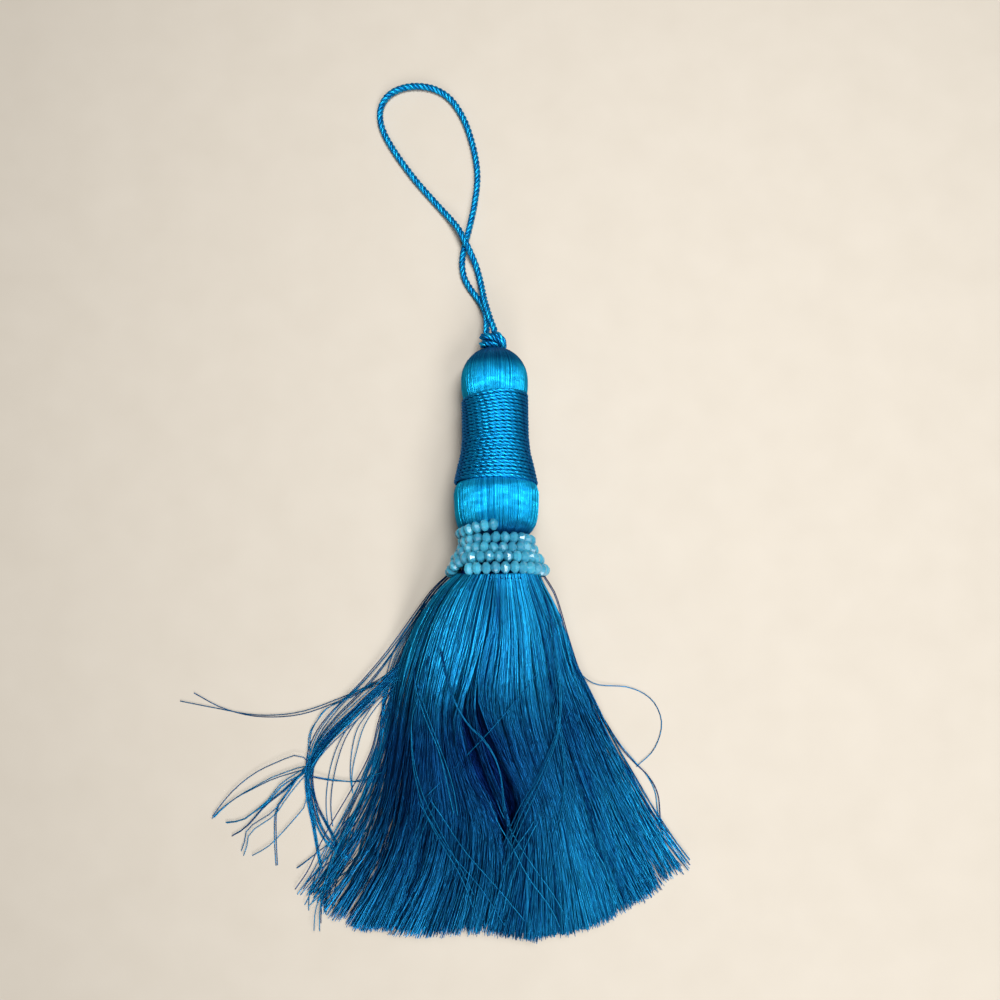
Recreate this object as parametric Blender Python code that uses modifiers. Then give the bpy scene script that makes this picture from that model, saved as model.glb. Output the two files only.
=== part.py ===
"""A tassel lying on a table: yarn head, wound band, bead collar, skirt of cut yarn and cord loop.

Metres, +Z up, the table top at z = 0. The tassel's axis lies in the plane x = 0 with the loop
towards +Y. The origin is the middle of the small flat on which the head rests.
"""
import math
import random
from collections import namedtuple

import bmesh
import bpy
import numpy as np
from mathutils import Vector

MM = 0.001
GAP = 0.3 * MM
MERGE = 0.001 * MM

# The axis leans down from the wide bead collar to the narrower dome. A station is a distance
# along it from the lowest bead row, positive towards the loop.
COLLAR_HEIGHT = 17.85 * MM
DOME_HEIGHT = 10.95 * MM
DOME_STATION = 67.6 * MM
DOME_RADIUS = 11.4 * MM
LEAN = math.asin((COLLAR_HEIGHT - DOME_HEIGHT) / DOME_STATION)
COLLAR_Y = -DOME_STATION * math.cos(LEAN)
TURNED_STEPS = 20

# Head: radius at each station, in millimetres, from the neck up to the foot of the dome.
Ring = namedtuple("Ring", "radius station")
NECK = (
    Ring(7.8, 7.0), Ring(6.6, 12.4), Ring(6.6, 16.1), Ring(11.2, 16.6), Ring(13.6, 18.6),
    Ring(14.5, 21.8), Ring(14.5, 25.2), Ring(14.1, 28.6),
)
WAIST = (
    Ring(13.0, 29.4), Ring(11.7, 36.0), Ring(10.5, 41.0), Ring(10.0, 46.5), Ring(10.0, 53.0),
    Ring(10.1, 61.5),
)
SHOULDER = (Ring(10.9, 62.0), Ring(11.35, 64.0))
DOME_STEPS = 7
TABLE_CUT_WIDTH = 60 * MM
TABLE_CUT_DEPTH = 10 * MM

# Band: cord rows wound over the waist.
BAND_ROWS = 25
BAND_BOTTOM = 29.9 * MM
BAND_TOP = 61.2 * MM
BAND_WALL = 0.9 * MM
ROW_DEPTH = 0.25 * MM

# Collar: faceted beads about three millimetres long, one ring for each row, whose solids are
# slimmer than the four millimetres of a real bead so that the rows stay apart.
BEAD_RADIUS = 1.8 * MM
BEAD_WAIST = 0.55
BEAD_SIDES = 6
BeadRow = namedtuple("BeadRow", "number station radius beads first_deg last_deg")
BEAD_ROWS = (
    BeadRow(5, 0.0, 15.7, 32, 0, 360),
    BeadRow(4, 3.5, 13.8, 28, 0, 360),
    BeadRow(3, 6.95, 11.9, 24, 0, 360),
    BeadRow(2, 10.5, 10.2, 21, 0, 360),
    BeadRow(1, 14.15, 8.7, 11, -270, -68),
)

# Knot on top of the dome.
KNOT_SIDE = -0.5 * MM
KNOT_WIDTH = 9.5 * MM
KNOT_LENGTH = 5.4 * MM
KNOT_THICKNESS = 7.2 * MM
KNOT_RIDGES = 3
KNOT_RIDGE_DEPTH = 0.13
KNOT_SLANT = 1.3
KNOT_STEPS_AROUND = 20
KNOT_STEPS_ALONG = 8
KNOT_STATION = DOME_STATION + DOME_RADIUS + GAP + KNOT_LENGTH / 2

# Loop: a three-ply cord. Its route is in millimetres from the lowest bead row, and lift is the
# height of the cord's underside above the table.
CORD_RADIUS = 1.22 * MM
CORD_VALLEY = 0.86 * MM
CORD_LAY = 5.4 * MM
CORD_STEPS_PER_TURN = 5
CORD_CLEARANCE = 0.1 * MM
CURVE_PARTS = 12
RoutePoint = namedtuple("RoutePoint", "x y lift")
LOOP_ROUTE = (
    RoutePoint(0.4, 84.8, 8.1), RoutePoint(0.1, 86.4, 7.9), RoutePoint(-1.0, 89.8, 7.0),
    RoutePoint(-1.8, 92.8, 5.7), RoutePoint(-2.6, 95.9, 4.5), RoutePoint(-3.2, 98.6, 3.3),
    RoutePoint(-4.0, 103.4, 1.3), RoutePoint(-5.0, 108.4, 0.3), RoutePoint(-6.2, 112.6, 0.5),
    RoutePoint(-7.7, 116.1, 1.5), RoutePoint(-9.2, 119.3, 2.6), RoutePoint(-10.6, 122.1, 2.8),
    RoutePoint(-12.5, 126.1, 2.0), RoutePoint(-15.8, 130.8, 0.7), RoutePoint(-20.4, 136.3, 0.0),
    RoutePoint(-28.4, 146.0, 0.0), RoutePoint(-35.2, 155.8, 0.0), RoutePoint(-39.6, 163.8, 0.0),
    RoutePoint(-41.2, 169.8, 0.0), RoutePoint(-40.6, 175.0, 0.0), RoutePoint(-37.6, 179.2, 0.0),
    RoutePoint(-32.6, 181.7, 0.0), RoutePoint(-26.6, 182.3, 0.0), RoutePoint(-20.6, 181.0, 0.0),
    RoutePoint(-15.5, 177.7, 0.0), RoutePoint(-11.6, 172.4, 0.0), RoutePoint(-8.5, 165.4, 0.0),
    RoutePoint(-6.0, 155.6, 0.0), RoutePoint(-5.1, 146.4, 0.0), RoutePoint(-6.3, 136.2, 0.0),
    RoutePoint(-8.4, 126.9, 0.0), RoutePoint(-10.2, 120.2, 0.0), RoutePoint(-11.2, 114.2, 0.0),
    RoutePoint(-10.7, 108.9, 0.0), RoutePoint(-9.0, 105.0, 0.0), RoutePoint(-7.0, 102.0, 0.0),
    RoutePoint(-5.1, 99.3, 0.5), RoutePoint(-3.7, 96.4, 1.4), RoutePoint(-2.8, 93.4, 2.8),
    RoutePoint(-2.5, 90.2, 4.6), RoutePoint(-2.5, 86.6, 6.7), RoutePoint(-2.5, 84.8, 7.5),
)

# Skirt: locks leave the backing in rings and settle into a flat pile on the table.
BACKING = (
    Ring(16.8, -3.6), Ring(16.8, -2.0), Ring(12.9, -1.6), Ring(12.9, 0.6), Ring(10.9, 3.2),
    Ring(8.6, 6.3),
)
BACKING_STEPS = 24
LOCK_START = -2.8 * MM
LockRing = namedtuple("LockRing", "radius locks")
LOCK_RINGS = (
    LockRing(16.0, 70), LockRing(13.2, 50), LockRing(10.3, 33), LockRing(7.2, 18),
    LockRing(3.9, 7),
)
LOCK_WIDTH = 1.1 * MM
LOCK_HEIGHT = 0.8 * MM
LOCK_ROOT_SCALE = 0.68
LOCK_TIP_SCALE = 0.6
LOCK_SPACING = 1.6 * MM
SETTLE_ROUNDS = 240
SETTLE_PUSH = 0.24
SHORTEST_WAY = 0.955
UNDERSIDE_WAY = 0.9
UNDERSIDE_LEVEL = -0.3
# way is the share of the distance from the collar to the hem; left and right are shares of the
# spread to that side; crown is the pile's height in millimetres; round is how much of the
# root's round section is left.
Station = namedtuple("Station", "way left right crown round")
STATIONS = (
    Station(0.050, 0.120, 0.050, 32.5, 0.80),
    Station(0.150, 0.265, 0.155, 25.5, 0.40),
    Station(0.310, 0.395, 0.260, 17.0, 0.10),
    Station(0.530, 0.510, 0.465, 11.5, 0.00),
    Station(0.790, 0.690, 0.735, 8.2, 0.00),
    Station(1.000, 1.000, 1.000, 6.2, 0.00),
)
# The hem, in millimetres from the lowest bead row, from the left side to the right.
HemPoint = namedtuple("HemPoint", "side x y")
HEM = (
    HemPoint(-1.00, -68.4, -108.3), HemPoint(-0.88, -61.8, -116.7), HemPoint(-0.70, -49.5, -121.2),
    HemPoint(-0.35, -24.0, -122.8), HemPoint(-0.10, -8.0, -120.0), HemPoint(0.18, 11.5, -124.8),
    HemPoint(0.45, 29.4, -121.6), HemPoint(0.78, 50.0, -112.8), HemPoint(1.00, 65.0, -102.5),
)
PARTING_SIDE = 0.02
PARTING_WIDTH = 0.13
PARTING_DEPTH = 0.45
PARTING_WAY = 0.58
PARTING_REACH = 0.24

# Stray strands on the table beside the skirt, in millimetres from the lowest bead row. The
# bundle and the curl are the outermost locks of the two sides, which leave the pile early, and
# the branches leave the bundle.
StrandPoint = namedtuple("StrandPoint", "x y")
STRAY_STATIONS = 2
STRAY_BUNDLE = (
    StrandPoint(-40.6, -33.4), StrandPoint(-45.0, -39.8), StrandPoint(-51.0, -46.6),
    StrandPoint(-61.2, -56.0), StrandPoint(-67.2, -63.8), StrandPoint(-69.4, -72.0),
    StrandPoint(-69.8, -82.0), StrandPoint(-70.2, -91.0), StrandPoint(-73.2, -98.0),
)
STRAY_CURL = (
    StrandPoint(32.6, -31.8), StrandPoint(37.6, -39.8), StrandPoint(45.7, -41.3),
    StrandPoint(53.7, -45.8), StrandPoint(56.9, -53.8), StrandPoint(54.8, -61.4),
    StrandPoint(50.0, -67.0),
)
BRANCHES = (
    (StrandPoint(-65.0, -60.6), StrandPoint(-75.0, -63.4), StrandPoint(-90.7, -71.9),
     StrandPoint(-100.9, -83.6)),
    (StrandPoint(-67.6, -65.2), StrandPoint(-74.4, -71.0), StrandPoint(-86.0, -80.6),
     StrandPoint(-96.4, -86.0)),
    (StrandPoint(-69.0, -70.4), StrandPoint(-76.2, -77.4), StrandPoint(-84.4, -87.0),
     StrandPoint(-90.8, -95.6)),
    (StrandPoint(-69.4, -76.6), StrandPoint(-76.0, -83.4), StrandPoint(-80.6, -91.2),
     StrandPoint(-81.6, -100.4)),
    (StrandPoint(-69.8, -84.0), StrandPoint(-74.6, -91.0), StrandPoint(-77.4, -100.6)),
    (StrandPoint(-42.2, -36.0), StrandPoint(-55.3, -42.4), StrandPoint(-70.4, -47.6),
     StrandPoint(-85.5, -48.6), StrandPoint(-99.5, -46.6), StrandPoint(-113.4, -43.4)),
)
BUNDLE_SCALE = 1.5
CURL_SCALE = 0.6
BRANCH_SCALE = 0.62
BRANCH_START = 0.25 * MM

# Colour and finish of each sub-part's material: base colour, roughness, metallic.
MATERIALS = {
    "head_yarn": ((0.02, 0.37, 0.68, 1.0), 0.45, 0.0),
    "band_cord": ((0.01, 0.20, 0.46, 1.0), 0.55, 0.0),
    "bead_glass": ((0.05, 0.32, 0.48, 1.0), 0.25, 0.0),
    "skirt_yarn": ((0.01, 0.22, 0.50, 1.0), 0.5, 0.0),
    "loop_cord": ((0.02, 0.26, 0.50, 1.0), 0.6, 0.0),
}


def clear_scene():
    """Remove every object of the start scene."""
    for obj in list(bpy.data.objects):
        bpy.data.objects.remove(obj, do_unlink=True)


def make_collection(name):
    """A new collection in the scene."""
    collection = bpy.data.collections.new(name)
    bpy.context.scene.collection.children.link(collection)
    return collection


def make_material(name):
    """A Principled material from the table."""
    colour, roughness, metallic = MATERIALS[name]
    material = bpy.data.materials.new(name)
    material.use_nodes = True
    shader = material.node_tree.nodes["Principled BSDF"]
    shader.inputs["Base Color"].default_value = colour
    shader.inputs["Roughness"].default_value = roughness
    shader.inputs["Metallic"].default_value = metallic
    material.diffuse_color = colour
    return material


def add_object(name, data, collection, material=None):
    """A new object of this mesh or curve."""
    obj = bpy.data.objects.new(name, data)
    collection.objects.link(obj)
    if material:
        data.materials.append(material)
    return obj


def round_axis(station, radius, angle):
    """The place at this radius and angle round the axis, counted from +X upwards."""
    along = station - DOME_STATION
    up = radius * math.sin(angle)
    return Vector((radius * math.cos(angle), along * math.cos(LEAN) + up * math.sin(LEAN),
                   DOME_HEIGHT - along * math.sin(LEAN) + up * math.cos(LEAN)))


def place_on_axis(obj, station):
    """Stand an object's own Z on the tassel's axis, with its origin at a station."""
    obj.location = round_axis(station, 0.0, 0.0)
    obj.rotation_euler = (-(math.pi / 2 + LEAN), 0.0, 0.0)


def turned(name, rings, steps, collection, material, closed=False):
    """A turned solid from a profile of rings, open at the axis unless the profile is a loop."""
    mesh = bpy.data.meshes.new(name)
    bm = bmesh.new()
    verts = [bm.verts.new((ring.radius * MM, 0.0, ring.station * MM)) for ring in rings]
    for first, second in zip(verts, verts[1:]):
        bm.edges.new((first, second))
    if closed:
        bm.edges.new((verts[-1], verts[0]))
    bm.to_mesh(mesh)
    bm.free()
    obj = add_object(name, mesh, collection, material)
    screw = obj.modifiers.new("Turn", "SCREW")
    screw.axis = "Z"
    screw.steps = steps
    screw.render_steps = steps
    screw.use_merge_vertices = True
    screw.merge_threshold = MERGE
    screw.use_normal_calculate = True
    place_on_axis(obj, 0.0)
    return obj


def dome_rings():
    """The rings of the dome from its foot to its tip on the axis."""
    rings = []
    for step in range(DOME_STEPS + 1):
        angle = math.pi / 2 * step / DOME_STEPS
        radius = DOME_RADIUS * math.cos(angle) if step < DOME_STEPS else 0.0
        station = DOME_STATION + DOME_RADIUS * math.sin(angle)
        rings.append(Ring(radius / MM, station / MM))
    return tuple(rings)


def waist_radius(station):
    """The head's radius under the band, in metres."""
    stations = [ring.station * MM for ring in WAIST]
    radii = [ring.radius * MM for ring in WAIST]
    return float(np.interp(station, stations, radii))


def make_head(collection, cutters, material):
    """The yarn-covered head, with a small flat where the dome rests on the table."""
    axis_end = Ring(0.0, NECK[0].station)
    head = turned("head", (axis_end,) + NECK + WAIST + SHOULDER + dome_rings(), TURNED_STEPS,
                  collection, material)
    mesh = bpy.data.meshes.new("table_cut")
    bm = bmesh.new()
    bmesh.ops.create_cube(bm, size=1.0)
    size = (TABLE_CUT_WIDTH, TABLE_CUT_WIDTH, TABLE_CUT_DEPTH)
    bmesh.ops.scale(bm, vec=size, verts=bm.verts)
    bmesh.ops.translate(bm, vec=(0.0, 0.0, -TABLE_CUT_DEPTH / 2), verts=bm.verts)
    bm.to_mesh(mesh)
    bm.free()
    cutter = add_object("table_cut", mesh, cutters)
    cutter.hide_render = True
    cutter.display_type = "WIRE"
    cut = head.modifiers.new("Rest", "BOOLEAN")
    cut.operation = "DIFFERENCE"
    cut.object = cutter
    return head


def make_band(collection, material):
    """The band: a sleeve over the waist whose outside swells at each wound row."""
    pitch = (BAND_TOP - BAND_BOTTOM) / BAND_ROWS
    wall = BAND_WALL + GAP
    rings = []
    for row in range(BAND_ROWS):
        low = BAND_BOTTOM + row * pitch
        rings.append(Ring((waist_radius(low) + wall - ROW_DEPTH) / MM, low / MM))
        middle = low + pitch / 2
        rings.append(Ring((waist_radius(middle) + wall) / MM, middle / MM))
    rings.append(Ring((waist_radius(BAND_TOP) + wall - ROW_DEPTH) / MM, BAND_TOP / MM))
    inner = [BAND_TOP] + [ring.station * MM for ring in reversed(WAIST[1:-1])] + [BAND_BOTTOM]
    for station in inner:
        rings.append(Ring((waist_radius(station) + GAP) / MM, station / MM))
    return turned("wound_band", rings, TURNED_STEPS, collection, material, closed=True)


def profile_curve(name, corners, cutters):
    """A closed flat outline that other curves use as their section."""
    curve = bpy.data.curves.new(name, "CURVE")
    curve.dimensions = "2D"
    spline = curve.splines.new("POLY")
    spline.points.add(len(corners) - 1)
    for point, (x, y) in zip(spline.points, corners):
        point.co = (x, y, 0.0, 1.0)
    spline.use_cyclic_u = True
    obj = add_object(name, curve, cutters)
    obj.hide_render = True
    obj.display_type = "WIRE"
    return obj


def round_corners(radii):
    """Corner points round the origin at these radii, evenly spaced and clockwise."""
    step = -2 * math.pi / len(radii)
    return [(radius * math.cos(index * step), radius * math.sin(index * step))
            for index, radius in enumerate(radii)]


def sectioned_curve(name, section):
    """An empty 3D curve that sweeps a section along its splines."""
    curve = bpy.data.curves.new(name, "CURVE")
    curve.dimensions = "3D"
    curve.twist_mode = "Z_UP"
    curve.bevel_mode = "OBJECT"
    curve.bevel_object = section
    curve.use_fill_caps = True
    return curve


def add_spline(curve, points, radii, tilts=None, closed=False):
    """A straight-segment spline with a radius and a tilt at each point."""
    spline = curve.splines.new("POLY")
    spline.points.add(len(points) - 1)
    for index, place in enumerate(points):
        spline.points[index].co = (*place, 1.0)
        spline.points[index].radius = radii[index]
        spline.points[index].tilt = tilts[index] if tilts else 0.0
    spline.use_cyclic_u = closed
    spline.use_smooth = False


def make_bead_row(row, section, collection, material):
    """One row of the collar: beads side by side in a ring, or in an arc for the top row."""
    curve = sectioned_curve(f"bead_row_{row.number}", section)
    whole = row.last_deg - row.first_deg == 360
    steps = 2 * row.beads
    count = steps if whole else steps + 1
    points = []
    radii = []
    for index in range(count):
        angle = math.radians(row.first_deg + (row.last_deg - row.first_deg) * index / steps)
        points.append((row.radius * MM * math.cos(angle), row.radius * MM * math.sin(angle), 0.0))
        radii.append(1.0 if index % 2 else BEAD_WAIST)
    add_spline(curve, points, radii, closed=whole)
    obj = add_object(curve.name, curve, collection, material)
    place_on_axis(obj, row.station * MM)
    return obj


def make_knot(collection, material):
    """The knot: a squat ball with slanting ridges for the crossing turns of cord."""
    mesh = bpy.data.meshes.new("loop_knot")
    bm = bmesh.new()
    bmesh.ops.create_uvsphere(bm, u_segments=KNOT_STEPS_AROUND, v_segments=KNOT_STEPS_ALONG,
                              radius=1.0)
    for vert in bm.verts:
        angle = math.atan2(vert.co.y, vert.co.x)
        ridge = abs(math.cos(angle * KNOT_RIDGES / 2 + KNOT_SLANT * vert.co.z))
        girth = 1.0 - KNOT_RIDGE_DEPTH * (1.0 - ridge)
        vert.co.x *= girth * KNOT_WIDTH / 2
        vert.co.y *= girth * KNOT_THICKNESS / 2
        vert.co.z *= KNOT_LENGTH / 2
    bm.to_mesh(mesh)
    bm.free()
    obj = add_object("loop_knot", mesh, collection, material)
    place_on_axis(obj, KNOT_STATION)
    obj.location.x = KNOT_SIDE
    return obj


def smooth_route(points, step):
    """Points a step apart on a smooth curve through the given ones."""
    dense = []
    padded = [points[0] * 2 - points[1], *points, points[-1] * 2 - points[-2]]
    for before, start, end, after in zip(padded, padded[1:], padded[2:], padded[3:]):
        for part in range(CURVE_PARTS):
            t = part / CURVE_PARTS
            dense.append(0.5 * (2 * start + (end - before) * t
                                + (2 * before - 5 * start + 4 * end - after) * t ** 2
                                + (3 * start - before - 3 * end + after) * t ** 3))
    dense.append(points[-1])
    lengths = np.cumsum([0.0] + [(b - a).length for a, b in zip(dense, dense[1:])])
    count = round(lengths[-1] / step)
    coords = np.array([list(point) for point in dense])
    wanted = np.linspace(0.0, lengths[-1], count + 1)
    columns = [np.interp(wanted, lengths, coords[:, axis]) for axis in range(3)]
    return [Vector(place) for place in zip(*columns)], float(lengths[-1])


def make_loop(section, collection, material):
    """The hanging loop: a three-lobed section turned once for each lay of the cord."""
    lowest = CORD_RADIUS + CORD_CLEARANCE
    route = [Vector((p.x * MM, COLLAR_Y + p.y * MM, p.lift * MM + lowest)) for p in LOOP_ROUTE]
    points, length = smooth_route(route, CORD_LAY / CORD_STEPS_PER_TURN)
    tilts = [2 * math.pi * index / CORD_STEPS_PER_TURN for index in range(len(points))]
    curve = sectioned_curve("hanging_loop", section)
    add_spline(curve, points, [1.0] * len(points), tilts)
    print(f"hanging_loop: {length / MM:.1f} mm of cord")
    return add_object("hanging_loop", curve, collection, material)


def hem_point(side):
    """Where the lock at this side, from -1 to 1, ends: x and y from the collar, in metres."""
    sides = [point.side for point in HEM]
    x = np.interp(side, sides, [point.x * MM for point in HEM])
    y = np.interp(side, sides, [point.y * MM for point in HEM])
    return float(x), float(y)


def parting(side, way):
    """How far the pile dips at this place, as a share of its height."""
    across = math.exp(-((side - PARTING_SIDE) / PARTING_WIDTH) ** 2)
    along = math.exp(-((way - PARTING_WAY) / PARTING_REACH) ** 2)
    return PARTING_DEPTH * across * along


def lock_place(ring, angle, station):
    """One lock's place at a station, before the pile has settled: x, y and z."""
    outer = LOCK_RINGS[0].radius * MM
    side = ring.radius * MM / outer * math.cos(angle)
    level = ring.radius * MM / outer * math.sin(angle)
    hem_x, hem_y = hem_point(side)
    spread = station.left if side < 0 else station.right
    x = outer * side * (1 - spread) + hem_x * spread
    y = hem_y * station.way
    arch = math.sqrt(max(0.0, 1.0 - side ** 2))
    pile = station.crown * MM * (level + arch) / 2 * (1 - parting(side, station.way))
    ball = COLLAR_HEIGHT - LOCK_HEIGHT / 2 + outer * level * math.cos(LEAN)
    return x, y, ball * station.round + pile * (1 - station.round)


def settle(places, moved):
    """Push crowded locks of one section apart and keep them off the table.

    moved is how far each lock was pushed in the section before, where this one starts, so that
    neighbours keep their order all the way down.
    """
    squash = np.array([1.0, LOCK_WIDTH / LOCK_HEIGHT])
    wanted = np.array([(x, z) for x, _, z in places]) * squash
    flat = wanted + moved
    for _ in range(SETTLE_ROUNDS):
        flat[:, 1] = np.clip(flat[:, 1], 0.0, None)
        apart = flat[:, None, :] - flat[None, :, :]
        distance = np.hypot(apart[..., 0], apart[..., 1])
        np.fill_diagonal(distance, 1.0)
        push = np.clip(LOCK_SPACING - distance, 0.0, None) / (distance + MERGE)
        flat += SETTLE_PUSH * (apart * push[..., None]).sum(axis=1)
    flat[:, 1] = np.clip(flat[:, 1], 0.0, None)
    settled = [(x, y, z) for (x, z), (_, y, _) in zip(flat / squash, places)]
    return settled, flat - wanted


def lock_routes():
    """The points of every lock, from inside the backing to its tip."""
    random.seed(7)
    locks = []
    for number, ring in enumerate(LOCK_RINGS):
        for index in range(ring.locks):
            angle = 2 * math.pi * (index + 0.5 * (number % 2)) / ring.locks
            locks.append((ring, angle, random.uniform(SHORTEST_WAY, 1.0)))
    sections = []
    moved = np.zeros((len(locks), 2))
    for station in STATIONS:
        placed = [lock_place(ring, angle, station) for ring, angle, _ in locks]
        settled, moved = settle(placed, moved)
        sections.append(settled)
    routes = []
    for index, (ring, angle, end) in enumerate(locks):
        route = [Vector(section[index]) + Vector((0.0, COLLAR_Y, 0.0)) for section in sections]
        if math.sin(angle) < UNDERSIDE_LEVEL:
            end *= UNDERSIDE_WAY
        last_way = (end - STATIONS[-2].way) / (STATIONS[-1].way - STATIONS[-2].way)
        route[-1] = route[-2].lerp(route[-1], last_way)
        routes.append([round_axis(LOCK_START, ring.radius * MM, angle), *route])
    return routes


def on_table(points):
    """A strand's points on the table."""
    return [Vector((point.x * MM, COLLAR_Y + point.y * MM, 0.0)) for point in points]


def curve_to_mesh(curve, name):
    """The mesh of a curve, with its caps welded."""
    obj = bpy.data.objects.new(name, curve)
    bpy.context.scene.collection.objects.link(obj)
    bpy.context.view_layer.update()
    evaluated = obj.evaluated_get(bpy.context.evaluated_depsgraph_get())
    mesh = bpy.data.meshes.new_from_object(evaluated)
    bpy.data.objects.remove(obj)
    bm = bmesh.new()
    bm.from_mesh(mesh)
    bmesh.ops.remove_doubles(bm, verts=bm.verts, dist=MERGE)
    bmesh.ops.recalc_face_normals(bm, faces=bm.faces)
    bm.to_mesh(mesh)
    bm.free()
    return mesh


def make_skirt(section, collection, cutters, material):
    """The skirt: a turned backing joined with its locks and the stray strands."""
    routes = lock_routes()
    around = LOCK_RINGS[0].locks
    strays = {around - 1: (STRAY_CURL, CURL_SCALE), around // 2 + 1: (STRAY_BUNDLE, BUNDLE_SCALE)}
    locks = sectioned_curve("locks", section)
    for index, route in enumerate(routes):
        scale = 1.0
        if index in strays:
            points, scale = strays[index]
            route = route[:STRAY_STATIONS + 1] + on_table(points)
        near_root = [LOCK_ROOT_SCALE] * (STRAY_STATIONS + 1)
        free = [scale] * (len(route) - STRAY_STATIONS - 2)
        add_spline(locks, route, [*near_root, *free, LOCK_TIP_SCALE * scale])
    branches = sectioned_curve("branches", section)
    for points in BRANCHES:
        route = on_table(points)
        route[0].z = BRANCH_START
        scales = [BRANCH_SCALE] * (len(route) - 1) + [LOCK_TIP_SCALE * BRANCH_SCALE]
        add_spline(branches, route, scales)
    rings = (Ring(0.0, BACKING[0].station),) + BACKING + (Ring(0.0, BACKING[-1].station),)
    skirt = turned("skirt", rings, BACKING_STEPS, collection, material)
    for curve in (locks, branches):
        cutter = add_object(curve.name, curve_to_mesh(curve, curve.name), cutters)
        cutter.hide_render = True
        cutter.display_type = "WIRE"
        join = skirt.modifiers.new(curve.name, "BOOLEAN")
        join.operation = "UNION"
        join.object = cutter
    print(f"skirt: {len(routes) + len(BRANCHES)} locks and strands")
    return skirt


def main():
    """Build the tassel."""
    clear_scene()
    parts = make_collection("Tassel")
    cutters = make_collection("Cutters")
    materials = {name: make_material(name) for name in MATERIALS}
    make_head(parts, cutters, materials["head_yarn"])
    make_band(parts, materials["band_cord"])
    bead = profile_curve("bead_section", round_corners([BEAD_RADIUS] * BEAD_SIDES), cutters)
    for row in BEAD_ROWS:
        make_bead_row(row, bead, parts, materials["bead_glass"])
    make_knot(parts, materials["loop_cord"])
    ply = profile_curve("cord_section", round_corners([CORD_RADIUS, CORD_VALLEY] * 3), cutters)
    make_loop(ply, parts, materials["loop_cord"])
    corners = ((-LOCK_WIDTH / 2, 0.0), (LOCK_WIDTH / 2, 0.0), (0.0, LOCK_HEIGHT))
    lock = profile_curve("lock_section", corners, cutters)
    make_skirt(lock, parts, cutters, materials["skirt_yarn"])


main()
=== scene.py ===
# %% [markdown]
# # A turquoise tassel
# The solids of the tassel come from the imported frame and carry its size, weight and collision.
# This file dresses them with what the eye sees: thousands of threads, twisted cords and faceted
# beads. One way of working runs through it. A single straight thread is modelled once, copied
# as often as it is needed, and every copy is bent along a route of its own.

# %% Load the frame
import math
from collections import namedtuple

import bmesh
import bpy
import numpy as np
from mathutils import Matrix, Vector


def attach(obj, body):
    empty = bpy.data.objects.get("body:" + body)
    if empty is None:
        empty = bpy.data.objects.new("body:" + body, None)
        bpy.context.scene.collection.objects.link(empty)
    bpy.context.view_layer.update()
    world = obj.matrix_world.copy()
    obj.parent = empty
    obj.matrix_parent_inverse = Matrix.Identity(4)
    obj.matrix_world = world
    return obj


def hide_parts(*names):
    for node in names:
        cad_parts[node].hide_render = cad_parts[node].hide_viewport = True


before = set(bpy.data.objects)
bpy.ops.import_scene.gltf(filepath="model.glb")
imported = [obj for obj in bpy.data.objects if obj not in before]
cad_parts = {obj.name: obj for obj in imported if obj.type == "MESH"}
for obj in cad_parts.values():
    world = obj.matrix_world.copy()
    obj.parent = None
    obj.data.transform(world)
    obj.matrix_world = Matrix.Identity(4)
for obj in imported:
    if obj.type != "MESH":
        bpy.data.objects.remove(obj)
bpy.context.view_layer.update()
MM = 0.001
print("nodes:", sorted(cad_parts))

# %% [markdown]
# ## Camera
# The tassel lies on a table and is seen from straight above, a little less than 30 cm away, with
# a short lens. The short lens matters: it makes the high bead collar look larger than the loop,
# which lies on the table. The camera is tipped a few degrees towards the loop.

# %% Camera
CAMERA_PLACE = (0.92 * MM, -62.6 * MM, 270.2 * MM)
CAMERA_TIP = math.radians(4.5)
CAMERA_ROLL = math.radians(-0.95)
camera = bpy.data.objects.new("camera", bpy.data.cameras.new("camera"))
camera.data.lens = 27.0
camera.data.sensor_width = 36.0
camera.data.clip_start = 0.01
camera.location = CAMERA_PLACE
camera.rotation_euler = (CAMERA_TIP, 0.0, CAMERA_ROLL)
bpy.context.scene.collection.objects.link(camera)
bpy.context.scene.camera = camera
bpy.context.scene.view_settings.view_transform = "Standard"

# %% [markdown]
# ## Routes
# Cords and stray threads are drawn with a few given points. A smooth curve through the points,
# cut into even steps, is what a thread then follows. The curve is the Catmull-Rom spline, which
# passes through every point that it is given.

# %% Smooth routes
CURVE_PARTS = 12


def smooth_route(points, step=None, count=None):
    """Points on a smooth curve through the given ones, a step apart or a certain number."""
    points = np.asarray(points, float)
    padded = np.vstack([2 * points[0] - points[1], points, 2 * points[-1] - points[-2]])
    dense = []
    for before, start, end, after in zip(padded, padded[1:], padded[2:], padded[3:]):
        for part in range(CURVE_PARTS):
            t = part / CURVE_PARTS
            dense.append(0.5 * (2 * start + (end - before) * t
                                + (2 * before - 5 * start + 4 * end - after) * t ** 2
                                + (3 * start - before - 3 * end + after) * t ** 3))
    dense = np.array(dense + [points[-1]])
    lengths = distance_along(dense)
    if count is None:
        count = round(lengths[-1] / step) + 1
    wanted = np.linspace(0.0, lengths[-1], count)
    return np.stack([np.interp(wanted, lengths, dense[:, axis]) for axis in range(3)], axis=-1)


def distance_along(route):
    """How far each point of a route, or of several routes, is from its start."""
    steps = np.linalg.norm(np.diff(route, axis=-2), axis=-1)
    start = np.zeros(steps.shape[:-1] + (1,))
    return np.concatenate([start, np.cumsum(steps, axis=-1)], axis=-1)


# %% [markdown]
# ## Bending threads
# A thread's cross-section has to keep its bearings while the thread turns. So each point of a
# route gets two directions at right angles to it: one as near as possible to a direction that
# is given, called across, and one at right angles to both.

# %% Directions at a route's points
def unit(vectors):
    """The vectors, each one long."""
    return vectors / (np.linalg.norm(vectors, axis=-1, keepdims=True) + 1e-12)


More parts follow.
